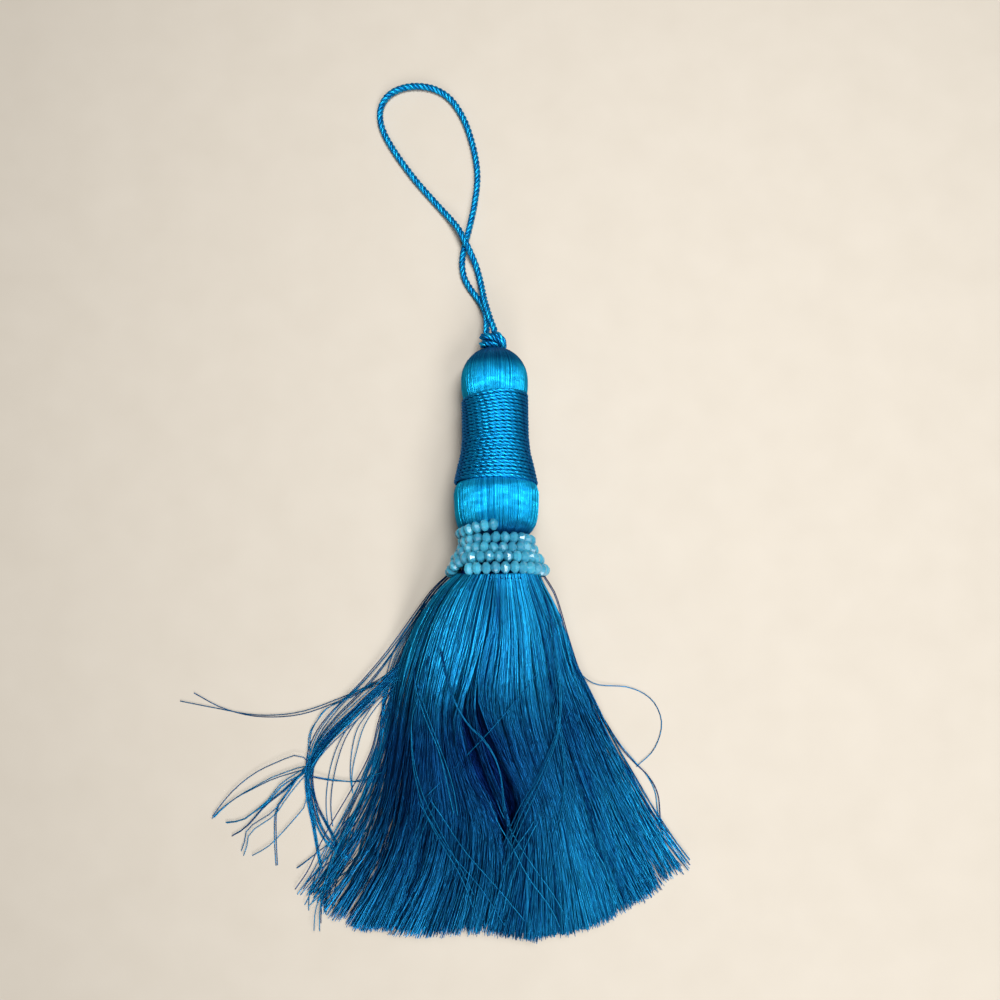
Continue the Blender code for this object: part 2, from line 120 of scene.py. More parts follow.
def bearings(routes, across):
    """Two directions for each point of the routes: the one nearest to across, and the other."""
    along = unit(np.gradient(routes, axis=-2))
    across = np.broadcast_to(np.asarray(across, float), routes.shape)
    first = unit(across - (across * along).sum(axis=-1, keepdims=True) * along)
    return first, np.cross(along, first)


# %% [markdown]
# ## One thread, many copies
# The straight thread is a cone primitive with two equal ends whose sides are cut into rings. Its
# ends are flat with sharp edges, so that the smooth sides keep their shading up to the cut. An
# Array modifier copies it, all copies in the same place. Then every point of a copy moves from
# the straight thread to the thread's own route: its height says how far along, and its place in
# the ring says which way from the middle.
# Each point also keeps where it was on the straight thread, a number for its copy and, on yarn
# that lies in a pile, how much light gets there, for painted shade. The materials read all three,
# so that fibres follow a thread and no two threads have the same colour.

# %% Threads
ACROSS_UP = (0.0, 0.0, 1.0)
rng = np.random.default_rng(11)


def straight_thread(corners, rings):
    """The mesh of a closed straight thread of radius 1 whose rings are 1 apart."""
    bm = bmesh.new()
    bmesh.ops.create_cone(bm, cap_ends=True, segments=corners, radius1=1.0, radius2=1.0,
                          depth=1.0)
    long_edges = [e for e in bm.edges if abs(e.verts[0].co.z - e.verts[1].co.z) > 0.5]
    bmesh.ops.subdivide_edges(bm, edges=long_edges, cuts=rings - 2, use_grid_fill=True)
    bmesh.ops.translate(bm, vec=(0.0, 0.0, 0.5), verts=bm.verts)
    bmesh.ops.scale(bm, vec=(1.0, 1.0, rings - 1.0), verts=bm.verts)
    bm.normal_update()
    for face in bm.faces:
        face.smooth = abs(face.normal.z) < 0.5
        if not face.smooth:
            for edge in face.edges:
                edge.smooth = False
    mesh = bpy.data.meshes.new("straight")
    bm.to_mesh(mesh)
    bm.free()
    return mesh


def copies_of(mesh, count):
    """A mesh with this many copies of a mesh, all in one place, first copy first."""
    maker = bpy.data.objects.new("maker", mesh)
    bpy.context.scene.collection.objects.link(maker)
    array = maker.modifiers.new("Copies", "ARRAY")
    array.count = count
    array.use_relative_offset = False
    bpy.context.view_layer.update()
    evaluated = maker.evaluated_get(bpy.context.evaluated_depsgraph_get())
    copied = bpy.data.meshes.new_from_object(evaluated)
    bpy.data.objects.remove(maker)
    return copied


def add_piece(name, mesh, material):
    """A finished piece at the origin."""
    piece = bpy.data.objects.new(name, mesh)
    bpy.context.scene.collection.objects.link(piece)
    mesh.materials.clear()
    mesh.materials.append(material.material)
    triangles = sum(len(face.vertices) - 2 for face in mesh.polygons)
    print(f"{name}: {triangles} triangles")
    return piece


def note(mesh, name, values):
    """Keep a number for each point of a mesh."""
    attribute = mesh.attributes.new(name, "FLOAT", "POINT")
    attribute.data.foreach_set("value", np.ascontiguousarray(values, np.float32).ravel())


def lay_threads(name, routes, radii, corners, material, across=ACROSS_UP, lit=None,
                shade=None, spin=0.0):
    """A piece of many threads, one along each of the routes, with a radius at each point.

    lit says for each point how much light gets there, from 0 to 1, and sets its painted shade.
    shade is a number for each thread. spin is how many turns a metre the fibres make round their
    thread.
    """
    routes = np.asarray(routes, float)
    count, rings = routes.shape[:2]
    radii = np.broadcast_to(radii, (count, rings))
    mesh = straight_thread(corners, rings)
    points = np.empty(len(mesh.vertices) * 3, np.float32)
    mesh.vertices.foreach_get("co", points)
    points = points.reshape(-1, 3)
    ring = np.rint(points[:, 2]).astype(int)
    first, second = bearings(routes, across)
    out = (points[:, 0, None] * first[:, ring] + points[:, 1, None] * second[:, ring])
    places = routes[:, ring] + radii[:, ring, None] * out
    mesh = copies_of(mesh, count)
    mesh.vertices.foreach_set("co", places.astype(np.float32).ravel())
    if shade is None:
        shade = rng.uniform(0.0, 1.0, count)
    note(mesh, "shade", np.repeat(shade, len(ring)))
    if lit is not None:
        note(mesh, "lit", np.broadcast_to(lit, (count, rings))[:, ring])
    along = distance_along(routes)[:, ring]
    angle = np.arctan2(points[:, 1], points[:, 0]) + 2 * math.pi * spin * along
    straight = np.stack([radii[:, ring] * np.cos(angle), radii[:, ring] * np.sin(angle), along],
                        axis=-1)
    attribute = mesh.attributes.new("straight", "FLOAT_VECTOR", "POINT")
    attribute.data.foreach_set("vector", straight.astype(np.float32).ravel())
    mesh.update()
    return add_piece(name, mesh, material)


# %% [markdown]
# ## Shader expressions
# A yarn's colour is a sum of small things: the thread's own shade, its fibres, some wide patches.
# Written with nodes alone that is hard to read, so a number that varies over a surface is
# wrapped in a class whose operators add Math nodes. Colours go through Mix nodes, and every
# other node comes from one method.

# %% Numbers and finishes
class Value:
    """A number or colour that varies over a surface."""

    def __init__(self, finish, socket):
        self.finish = finish
        self.socket = socket

    def combine(self, operation, first, second):
        settings = {"operation": operation}
        return self.finish.node("ShaderNodeMath", settings, {0: first, 1: second})

    def __add__(self, other):
        return self.combine("ADD", self, other)

    def __sub__(self, other):
        return self.combine("SUBTRACT", self, other)

    def __rsub__(self, other):
        return self.combine("SUBTRACT", other, self)

    def __mul__(self, other):
        return self.combine("MULTIPLY", self, other)

    __radd__ = __add__
    __rmul__ = __mul__


class Finish:
    """A material on one Principled shader, with what is the same all over set on it."""

    def __init__(self, name, **constants):
        self.material = bpy.data.materials.new(name)
        self.material.use_nodes = True
        self.tree = self.material.node_tree
        self.shader = self.tree.nodes["Principled BSDF"]
        for socket, value in constants.items():
            self.shader.inputs[socket.replace("_", " ")].default_value = value

    def node(self, kind, settings=None, inputs=None, output=0):
        """A node with its settings and inputs, and one of its outputs."""
        made = self.tree.nodes.new(kind)
        for key, value in (settings or {}).items():
            setattr(made, key, value)
        for key, value in (inputs or {}).items():
            self.feed(made.inputs[key], value)
        return Value(self, made.outputs[output])

    def feed(self, socket, value):
        """Link or set one input."""
        if isinstance(value, Value):
            self.tree.links.new(value.socket, socket)
        else:
            socket.default_value = value

    def attribute(self, name, output="Fac"):
        """What the piece keeps under this name."""
        return self.node("ShaderNodeAttribute", {"attribute_name": name}, output=output)

    def mix(self, share, first, second):
        """A colour between two."""
        inputs = {0: share, 6: first, 7: second}
        return self.node("ShaderNodeMix", {"data_type": "RGBA"}, inputs, output=2)

    def noise(self, vector, scale, detail=2.0):
        """Soft random values from 0 to 1."""
        inputs = {"Vector": vector, "Scale": scale, "Detail": detail}
        return self.node("ShaderNodeTexNoise", None, inputs)

    def stretched(self, vector, scale):
        """A vector with each direction scaled on its own."""
        settings = {"operation": "MULTIPLY"}
        return self.node("ShaderNodeVectorMath", settings, {0: vector, 1: scale})

    def place(self):
        """Where the point is, in metres."""
        return self.node("ShaderNodeTexCoord", None, None, "Object")

    def colour(self, value):
        self.feed(self.shader.inputs["Base Color"], value)

    def roughness(self, value):
        self.feed(self.shader.inputs["Roughness"], value)

    def relief(self, height, distance):
        """Raise the surface by a height from 0 to 1 times a distance."""
        inputs = {"Height": height, "Distance": distance, "Strength": 1.0}
        normal = self.node("ShaderNodeBump", None, inputs)
        self.feed(self.shader.inputs["Normal"], normal)


# %% [markdown]
# ## Yarn and cord finishes
# Rayon yarn is silky: smooth enough for a highlight, but the highlight breaks up over its
# fibres. The threads' own roundness gives most of that. The material adds a shade for each
# thread and fine fibres that wind round it.
# Deep in a pile and in its hollows the lamps alone leave the yarn too bright, so shade is painted
# there: both colours are seen through a darker and bluer veil where little light gets. The head's
# yarn lies tight and looks lighter than the skirt's.

# %% Yarn finish
FIBRE_STRETCH = (9000.0, 9000.0, 500.0)
PATCH_SCALE = 90.0
SHEEN_TINT = (0.10, 0.42, 0.68, 1.0)
# painted shade: what is left of red, green and blue where no light gets
SHADE_VEIL = (0.2, 0.07, 0.21, 1.0)


def yarn_finish(name, dark, light, roughness, fibre_depth, satin=0.75, paint_shade=False):
    """Silky yarn between two colours.

    satin is the share of the light that the yarn mirrors in its own colour. When the last
    argument is set, shade is painted: the yarn turns darker and bluer where the threads' lit
    falls from 1 to 0.
    """
    finish = Finish(name, Metallic=satin, Specular_IOR_Level=0.3, Specular_Tint=SHEEN_TINT)
    shade = finish.attribute("shade")
    patches = finish.noise(finish.place(), PATCH_SCALE)
    straight = finish.attribute("straight", "Vector")
    fibres = finish.noise(finish.stretched(straight, FIBRE_STRETCH), 1.0, 1.0)
    share = shade * 0.9 + patches * 0.3 + fibres * 0.7 - 0.45
    colour = finish.mix(share, dark, light)
    if paint_shade:
        dark, light = (tuple(np.multiply(paint, SHADE_VEIL)) for paint in (dark, light))
        colour = finish.mix(finish.attribute("lit"), finish.mix(share, dark, light), colour)
    finish.colour(colour)
    finish.roughness(fibres * 0.2 + (roughness - 0.1))
    finish.relief(fibres, fibre_depth)
    return finish


head_finish = yarn_finish("head_yarn", (0.001, 0.19, 0.44, 1.0), (0.014, 0.50, 0.80, 1.0), 0.36,
                          0.03 * MM, paint_shade=True)
skirt_finish = yarn_finish("skirt_yarn", (0.002, 0.050, 0.22, 1.0), (0.022, 0.56, 0.99, 1.0),
                           0.34, 0.04 * MM, satin=0.85, paint_shade=True)
band_finish = yarn_finish("band_cord", (0.001, 0.07, 0.26, 1.0), (0.010, 0.46, 0.86, 1.0), 0.33,
                          0.06 * MM, satin=0.85, paint_shade=True)
cord_finish = yarn_finish("loop_cord", (0.002, 0.12, 0.34, 1.0), (0.014, 0.42, 0.74, 1.0), 0.36,
                          0.06 * MM)

# %% [markdown]
# ## Twisted cord
# Cord is two or three plies that wind round each other. Each ply's route is the cord's route,
# pushed aside by a little and turned once for each lay. The turn is right-handed, as in most
# sold cord, which shows as strokes that lean to the right on an upright cord.

# %% Plies
Cord = namedtuple("Cord", "plies ply_radius offset lay corners")
LOOP_CORD = Cord(3, 0.566 * MM, 0.654 * MM, 5.4 * MM, 10)
FIBRE_SPIN = 260.0


def ply_routes(route, cord, across=ACROSS_UP):
    """The routes of a cord's plies."""
    first, second = bearings(route, across)
    turned = 2 * math.pi * distance_along(route) / cord.lay
    routes = []
    for ply in range(cord.plies):
        angle = (turned + 2 * math.pi * ply / cord.plies)[:, None]
        routes.append(route + cord.offset * (np.cos(angle) * first + np.sin(angle) * second))
    return np.stack(routes)


# %% [markdown]
# ## Hanging loop
# The loop is a three-ply cord, knotted on top of the head and laid on the table in an open
# curve. Its two legs run side by side from the knot, cross once, part and come round. The route
# repeats the points of its solid. Its length is measured along the route. The round end at the
# top joins the two legs without a kink.

# %% Loop route
COLLAR_HEIGHT = 17.85 * MM
DOME_HEIGHT = 10.95 * MM
DOME_STATION = 67.6 * MM
LEAN = math.asin((COLLAR_HEIGHT - DOME_HEIGHT) / DOME_STATION)
COLLAR_Y = -DOME_STATION * math.cos(LEAN)
CORD_LOWEST = 1.32 * MM
LOOP_STEP = 0.5 * MM
# x and y from the lowest bead row and the height of the cord's underside, in millimetres
LOOP_POINTS = (
    (0.4, 84.8, 8.1), (0.1, 86.4, 7.9), (-1.0, 89.8, 7.0), (-1.8, 92.8, 5.7), (-2.6, 95.9, 4.5),
    (-3.2, 98.6, 3.3), (-4.0, 103.4, 1.3), (-5.0, 108.4, 0.3), (-6.2, 112.6, 0.5),
    (-7.7, 116.1, 1.5), (-9.2, 119.3, 2.6), (-10.6, 122.1, 2.8), (-12.5, 126.1, 2.0),
    (-15.8, 130.8, 0.7), (-20.4, 136.3, 0.0), (-28.4, 146.0, 0.0), (-35.2, 155.8, 0.0),
    (-39.6, 163.8, 0.0), (-41.2, 169.8, 0.0), (-40.6, 175.0, 0.0), (-37.6, 179.2, 0.0),
    (-32.6, 181.7, 0.0), (-26.6, 182.3, 0.0), (-20.6, 181.0, 0.0), (-15.5, 177.7, 0.0),
    (-11.6, 172.4, 0.0), (-8.5, 165.4, 0.0), (-6.0, 155.6, 0.0), (-5.1, 146.4, 0.0),
    (-6.3, 136.2, 0.0), (-8.4, 126.9, 0.0), (-10.2, 120.2, 0.0), (-11.2, 114.2, 0.0),
    (-10.7, 108.9, 0.0), (-9.0, 105.0, 0.0), (-7.0, 102.0, 0.0), (-5.1, 99.3, 0.5),
    (-3.7, 96.4, 1.4), (-2.8, 93.4, 2.8), (-2.5, 90.2, 4.6), (-2.5, 86.6, 6.7),
    (-2.5, 84.8, 7.5),
)


def from_collar(points, lift=0.0):
    """Points in millimetres from the lowest bead row as places in metres."""
    return [(x * MM, COLLAR_Y + y * MM, z * MM + lift) for x, y, z in points]


loop_route = smooth_route(from_collar(LOOP_POINTS, CORD_LOWEST), step=LOOP_STEP)

# %% Loop
loop = lay_threads("loop_cord", ply_routes(loop_route, LOOP_CORD), LOOP_CORD.ply_radius,
                   LOOP_CORD.corners, cord_finish, spin=-FIBRE_SPIN)
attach(loop, "root")
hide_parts("hanging_loop")

# %% [markdown]
# ## Places round the axis
# The head, the band and the beads are all round, and share one axis, which leans a little from
# the high collar down to the dome. A station is a distance along it from the lowest bead row.

# %% Places round the axis
def round_axis(station, radius, angle):
    """Places at a radius and an angle round the axis, counted from +X upwards."""
    along = station - DOME_STATION
    up = radius * np.sin(angle)
    return np.stack([radius * np.cos(angle) + 0.0 * along,
                     along * math.cos(LEAN) + up * math.sin(LEAN),
                     DOME_HEIGHT - along * math.sin(LEAN) + up * math.cos(LEAN)], axis=-1)


AXIS_START = round_axis(0.0, 0.0, 0.0)
AXIS = round_axis(1.0, 0.0, 0.0) - AXIS_START

# %% [markdown]
# ## Knot
# Both legs of the loop end in a tight knot of the same cord. What shows of it is a thick turn
# that crosses the front from the left down to the right, a second one beside it, and a lobe that
# bulges under them on the left. The turns are drawn round the knot's middle.

# %% Knot
KNOT_SIDE = -0.5
KNOT_STATION = 82.0
# x and station from the knot's middle and height above the axis, in millimetres
KNOT_TURNS = (
    ((0.6, 1.4, -2.2), (-2.2, 1.9, -1.7), (-3.5, 1.7, 0.0), (-2.3, 1.3, 1.8), (0.0, 0.7, 2.5),
     (2.1, -0.5, 2.0), (3.3, -1.6, 0.2), (2.2, -2.0, -1.8), (-0.4, -1.7, -2.3),
     (-2.9, -1.2, -1.3), (-3.6, -1.1, 0.2), (-2.6, -1.2, 1.5), (-0.8, -1.6, 1.5),
     (1.2, -1.5, 0.4), (2.2, -1.0, -0.9)),
    ((0.3, 2.4, 0.8), (1.8, 1.8, 1.6), (3.1, 0.6, 1.3), (3.9, -0.8, 0.4), (3.6, -1.9, -1.0),
     (1.8, -2.1, -2.0), (0.0, -1.5, -2.4)),
)
KNOT_PARTS = 56


def knot_route(turn):
    """One of the listed turns as places."""
    points = []
    for side, station, up in turn:
        place = round_axis(np.array((KNOT_STATION + station) * MM), up * MM, math.pi / 2)
        points.append(place + np.array(((KNOT_SIDE + side) * MM, 0.0, 0.0)))
    return smooth_route(points, count=KNOT_PARTS)


knot_plies = [ply_routes(knot_route(turn), LOOP_CORD, AXIS) for turn in KNOT_TURNS]
knot = lay_threads("knot_turns", np.concatenate(knot_plies), LOOP_CORD.ply_radius,
                   LOOP_CORD.corners, cord_finish, spin=-FIBRE_SPIN)
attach(knot, "root")
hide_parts("loop_knot")

# %% [markdown]
# ## Head
# The head is a turned mould that is covered with yarn laid lengthwise. Under the band the yarn
# can't be seen. So the mould is turned whole, by spinning its outline round the axis, and the
# threads are laid over the dome and over the ball, side by side, with their ends under the band.
# The yarn is pinched in under the knot and above the beads, and there its colour is darkened as
# painted shade.

# %% Head outlines
# radius and station in millimetres, from under the beads up to the dome's tip
BALL_LINE = (
    (13.2, -3.0), (12.3, 0.0), (10.2, 3.5), (8.4, 7.0), (8.4, 10.0), (9.6, 12.0), (11.4, 13.7),
    (12.7, 15.4), (13.4, 17.2), (13.8, 19.2), (14.05, 21.8), (14.2, 25.2), (14.2, 27.5),
    (13.7, 29.0), (12.6, 31.0),
)
WAIST_LINE = (
    (13.0, 29.4), (11.7, 36.0), (10.5, 41.0), (10.0, 46.5), (10.0, 53.0), (10.1, 61.5),
)
DOME_LINE = ((10.3, 60.0), (10.9, 61.6), (11.3, 63.4), (11.45, 65.5))
DOME_REACH = 11.4
DOME_TIP_STEPS = 9
DOME_TIP_ANGLE = math.radians(84)


def dome_line():
    """The dome's outline, with its round end."""
    line = list(DOME_LINE)
    widest = DOME_LINE[-1][0]
    for step in range(DOME_TIP_STEPS + 1):
        angle = DOME_TIP_ANGLE * step / DOME_TIP_STEPS
        line.append((widest * math.cos(angle), DOME_STATION / MM + DOME_REACH * math.sin(angle)))
    return line


# %% Head mould
MOULD_SINK = 0.25 * MM
MOULD_STEPS = 96
# the mould's shade number, and how lit it is painted: painted shade, as it shows only between the
# threads
MOULD_SHADE = 0.2
MOULD_LIT = 0.3
TABLE_GAP = 0.05 * MM
MERGE_WITHIN = 0.001 * MM


def spin_outline(name, outline, material, steps):
    """A closed turned mesh from an outline of radius and station in metres."""
    bm = bmesh.new()
    ends = [(0.0, outline[0][1]), *outline, (0.0, outline[-1][1])]
    verts = [bm.verts.new((radius, 0.0, station)) for radius, station in ends]
    edges = [bm.edges.new(pair) for pair in zip(verts, verts[1:])]
    bmesh.ops.spin(bm, geom=verts + edges, cent=(0.0, 0.0, 0.0), axis=(0.0, 0.0, 1.0),
                   angle=2 * math.pi, steps=steps, use_merge=True)
    bmesh.ops.remove_doubles(bm, verts=bm.verts, dist=MERGE_WITHIN)
    bmesh.ops.recalc_face_normals(bm, faces=bm.faces)
    stand = Matrix.Rotation(-(math.pi / 2 + LEAN), 4, "X")
    move = Matrix.Translation(Vector(AXIS_START))
    bmesh.ops.transform(bm, matrix=move @ stand, verts=bm.verts)
    for vert in bm.verts:
        vert.co.z = max(vert.co.z, TABLE_GAP)
    for face in bm.faces:
        face.smooth = True
    mesh = bpy.data.meshes.new(name)
    bm.to_mesh(mesh)
    bm.free()
    note(mesh, "shade", np.full(len(mesh.vertices), MOULD_SHADE))
    note(mesh, "lit", np.full(len(mesh.vertices), MOULD_LIT))
    return add_piece(name, mesh, material)


mould_line = [(radius * MM - MOULD_SINK, station * MM)
              for radius, station in (*BALL_LINE[:-3], *WAIST_LINE, *dome_line()[2:])]
mould = spin_outline("head_mould", mould_line, head_finish, MOULD_STEPS)

# %% Head yarn
HEAD_THREADS = 300
HEAD_THREAD = 0.2 * MM
HEAD_RINGS = 18
HEAD_CORNERS = 4
HEAD_DRIFT = 0.006
HEAD_UNEVEN = 0.05 * MM
# station in millimetres and how lit the yarn is painted there: below 1 is painted shade
HEAD_LIT = ((10.0, 0.0), (14.0, 0.2), (16.5, 0.7), (18.5, 1.0), (70.2, 1.0), (72.0, 0.32),
            (79.0, 0.22))


def head_routes(line):
    """Threads side by side along an outline, each a little uneven."""
    line = np.array(line) * MM
    angle = np.linspace(0.0, 2 * math.pi, HEAD_THREADS, endpoint=False)[:, None]
    flat = smooth_route(np.column_stack([line, np.zeros(len(line))]), count=HEAD_RINGS)
    way = np.linspace(0.0, 1.0, HEAD_RINGS)
    drift = rng.normal(0.0, HEAD_DRIFT, (HEAD_THREADS, 1)) * np.sin(math.pi * way)
    radius = flat[:, 0] + rng.normal(0.0, HEAD_UNEVEN, (HEAD_THREADS, 1))
    station = np.broadcast_to(flat[:, 1], radius.shape)
    routes = round_axis(station, radius, angle + drift)
    routes[..., 2] = np.maximum(routes[..., 2], TABLE_GAP + HEAD_THREAD)
    return routes


head_threads = np.concatenate([head_routes(BALL_LINE), head_routes(dome_line())])
print(f"head: {len(head_threads)} threads")
from_start = head_threads - AXIS_START
head = lay_threads("head_yarn", head_threads, HEAD_THREAD, HEAD_CORNERS, head_finish,
                   across=unit(np.cross(AXIS, from_start)),
                   lit=np.interp(from_start @ AXIS / MM, *zip(*HEAD_LIT)))
for piece in (mould, head):
    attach(piece, "root")
    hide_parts("head")

# %% [markdown]
# ## Band
# The waist is wound with a fine two-ply cord, row against row. A winding is one long helix, so it
# is laid as one, about twenty-five turns from the lower edge to the upper one. The two plies give
# the slanting strokes along each row. The rows shine along the top and are much darker at both
# sides, partly from the lamps and partly from painted shade.

# %% Band
BAND_ROWS = 25
BAND_BOTTOM = 30.1 * MM
BAND_TOP = 60.7 * MM
BAND_TILT_BOTTOM = -0.054
BAND_TILT_TOP = 0.065
BAND_CORD = Cord(2, 0.43 * MM, 0.27 * MM, 4.6 * MM, 8)
BAND_STEPS = 120
BAND_CLEAR = 0.3 * MM
BAND_UNEVEN = 0.06 * MM
BAND_UNEVEN_PACE = 0.37
# height over the axis as a share of the radius and how lit the winding is painted there: painted
# shade at the sides and below
BAND_LIT = ((-1.0, 0.4), (0.2, 0.35), (0.53, 0.27), (0.87, 0.9), (1.0, 1.0))


def waist_radius(station):
    """The radius of the waist's outline, in metres."""
    return np.interp(station, [line[1] * MM for line in WAIST_LINE],
                     [line[0] * MM for line in WAIST_LINE])


def band_route():
    """The helix of the wound cord's middle, whose end rows tilt a little, and its height."""
    turns = np.linspace(0.0, BAND_ROWS, BAND_ROWS * BAND_STEPS + 1)
    angle = -2 * math.pi * turns - math.pi / 2
    share = turns / BAND_ROWS
    uneven = BAND_UNEVEN * np.sin(2 * math.pi * turns * BAND_UNEVEN_PACE)
    station = BAND_BOTTOM + (BAND_TOP - BAND_BOTTOM) * share + uneven
    radius = waist_radius(station) + BAND_CLEAR + BAND_CORD.ply_radius + BAND_CORD.offset
    tilt = BAND_TILT_BOTTOM + (BAND_TILT_TOP - BAND_TILT_BOTTOM) * share
    return round_axis(station + tilt * radius * np.cos(angle), radius, angle), np.sin(angle)


band_line, rise = band_route()
print(f"band: {distance_along(band_line)[-1]:.2f} m of cord")
band_plies = ply_routes(band_line, BAND_CORD, AXIS)
band_plies[..., 2] = np.maximum(band_plies[..., 2], TABLE_GAP + BAND_CORD.ply_radius)
band = lay_threads("band_turns", band_plies, BAND_CORD.ply_radius, BAND_CORD.corners,
                   band_finish, across=AXIS, lit=np.interp(rise, *zip(*BAND_LIT)),
                   spin=-FIBRE_SPIN * 2)
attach(band, "root")
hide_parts("wound_band")

# %% [markdown]
# ## Beads
# The collar is faceted glass beads on a thread, each bead four millimetres across and three
# long. The thread winds round the neck four and a half times. It starts at the front on the
# left, and at the end of each turn it climbs there to the next, narrower one. The last half
# turn is a tail of beads on the ball. A bead is four rings of ten points: two small ends and
# two wide rings, one of them turned by half a step, which gives the triangular facets.

# %% Bead finish
def bead_finish():
    """Cloudy turquoise glass with a clear surface."""
    finish = Finish("bead_glass", Coat_Weight=0.5, Coat_Roughness=0.07, IOR=1.5,
                    Subsurface_Weight=0.2, Subsurface_Scale=0.8 * MM)
    shade = finish.attribute("shade")
    cloud = finish.noise(finish.place(), 700.0, 3.0)
    share = shade * 0.6 + cloud * 0.6 - 0.1
    finish.colour(finish.mix(share, (0.02, 0.18, 0.30, 1.0), (0.06, 0.40, 0.56, 1.0)))
    finish.roughness(cloud * 0.15 + 0.25)
    finish.relief(cloud, 0.02 * MM)
    return finish


glass_finish = bead_finish()

# %% Beads
BEAD_ACROSS = 4.0 * MM
BEAD_LENGTH = 3.0 * MM
BEAD_STEP = 3.05 * MM
BEAD_FACETS = 10
HOLE_REACH = 0.5 * MM
# how far beads are out of line: along the axis and outwards, and how far their holes turn
BEAD_SHIFT_ALONG = 0.12 * MM
BEAD_SHIFT_OUT = 0.1 * MM
BEAD_TURN_ALONG = 0.09
BEAD_TURN_OUT = 0.06
ROW_STEPS = 400
# radius as a share of the bead's and place as a share of half its length, end to end
BEAD_RINGS = ((0.42, -1.0), (0.98, -0.34), (0.98, 0.34), (0.42, 1.0))
BEAD_START = math.radians(131)
BeadRow = namedtuple("BeadRow", "number station radius first last climb_from rise widen")
# station, radius, rise and widening in millimetres, first, last and climb_from in turns
BEAD_ROWS = (
    BeadRow(5, 0.5, 15.6, 0.0, 1.0, 0.84, 3.6, -1.7),
    BeadRow(4, 4.1, 13.9, 0.0, 1.0, 0.84, 3.2, -1.8),
    BeadRow(3, 7.3, 12.1, 0.0, 1.0, 0.84, 3.2, -0.9),
    BeadRow(2, 10.5, 11.2, 0.0, 1.0, 0.84, 0.0, 0.0),
    BeadRow(1, 13.2, 12.2, -0.42, 0.12, -0.08, 1.6, 0.2),
)


def add_bead(bm, place):
    """One bead, its hole along its own Z, moved to its place."""
    rings = []
    for number, (radius, height) in enumerate(BEAD_RINGS):
        turn = Matrix.Rotation(math.pi / BEAD_FACETS * (number > 1), 4, "Z")
        lift = Matrix.Translation((0.0, 0.0, height * BEAD_LENGTH / 2))
        made = bmesh.ops.create_circle(bm, segments=BEAD_FACETS, radius=radius * BEAD_ACROSS / 2,
                                       matrix=place @ lift @ turn,
                                       cap_ends=number in (0, len(BEAD_RINGS) - 1))
        rings.append(made["verts"])
    for low, high in zip(rings, rings[1:]):
        edges = [e for ring in (low, high) for e in edges_within(ring)]
        faces = bmesh.ops.bridge_loops(bm, edges=edges)["faces"]
        if low is rings[1]:
            bmesh.ops.triangulate(bm, faces=faces)
    return [vert for ring in rings for vert in ring]


def edges_within(verts):
    """The edges whose two ends are both in this ring."""
    wanted = set(verts)
    return {edge for vert in verts for edge in vert.link_edges
            if edge.other_vert(vert) in wanted}


def bead_line(row):
    """The thread through a row's beads: its station, radius and angle."""
    turn = np.linspace(row.first, row.last, ROW_STEPS)
    climb = np.clip((turn - row.climb_from) / (row.last - row.climb_from), 0.0, 1.0)
    climb = climb * climb * (3 - 2 * climb)
    station = row.station + row.rise * climb
    radius = row.radius + row.widen * climb
    return station * MM, radius * MM, BEAD_START - 2 * math.pi * turn


def bead_row(row):
    """One row of beads, each a little out of line."""
    bm = bmesh.new()
    owner = []
    station, radius, angle = bead_line(row)
    along = distance_along(round_axis(station, radius, angle))
    count = round(along[-1] / BEAD_STEP)
    for bead, way in enumerate((np.arange(count) + 0.5) / count * along[-1]):
        here = np.interp(way, along, station) + rng.normal(0.0, BEAD_SHIFT_ALONG)
        out = np.interp(way, along, radius) + rng.normal(0.0, BEAD_SHIFT_OUT)
        middle = Vector(round_axis(here, out, np.interp(way, along, angle)))
        outward = (middle - Vector(round_axis(here, 0.0, 0.0))).normalized()
        pair = np.interp([way - HOLE_REACH, way + HOLE_REACH], along, np.arange(len(along)))
        ends = round_axis(*(np.interp(pair, np.arange(len(along)), line)
                            for line in (station, radius, angle)))
        hole = Vector(ends[1] - ends[0]).normalized()
        tip = Vector(AXIS) * rng.normal(0.0, BEAD_TURN_ALONG)
        tip += outward * rng.normal(0.0, BEAD_TURN_OUT)
        hole = (hole + tip).normalized()
        third = hole.cross(outward).normalized()
        turn = Matrix((third.cross(hole), third, hole)).transposed().to_4x4()
        spun = Matrix.Rotation(rng.uniform(0.0, math.pi), 4, "Z")
        verts = add_bead(bm, Matrix.Translation(middle) @ turn @ spun)
        owner.extend([bead] * len(verts))
    bmesh.ops.recalc_face_normals(bm, faces=bm.faces)
    mesh = bpy.data.meshes.new(f"beads_row_{row.number}")
    bm.to_mesh(mesh)
    bm.free()
    print(f"row {row.number}: {count} beads")
    shades = rng.uniform(0.0, 1.0, count)
    note(mesh, "shade", shades[np.array(owner)])
    return add_piece(mesh.name, mesh, glass_finish)


for row in BEAD_ROWS:
    beads = bead_row(row)
    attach(beads, "root")
    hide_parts(f"bead_row_{row.number}")

# %% [markdown]
# ## Skirt
# The skirt is thousands of cut threads that leave the collar in a round bundle and settle into
# a flat fan on the table. Each thread has a place in the bundle's round section: side, from -1
# at the left to 1 at the right, and level, from -1 at the bottom to 1 at the top. A short table
# says how the section widens, sinks and loses its roundness on the way to the hem, and the hem
# is a line of points. It is close to the map that the solid's locks follow.

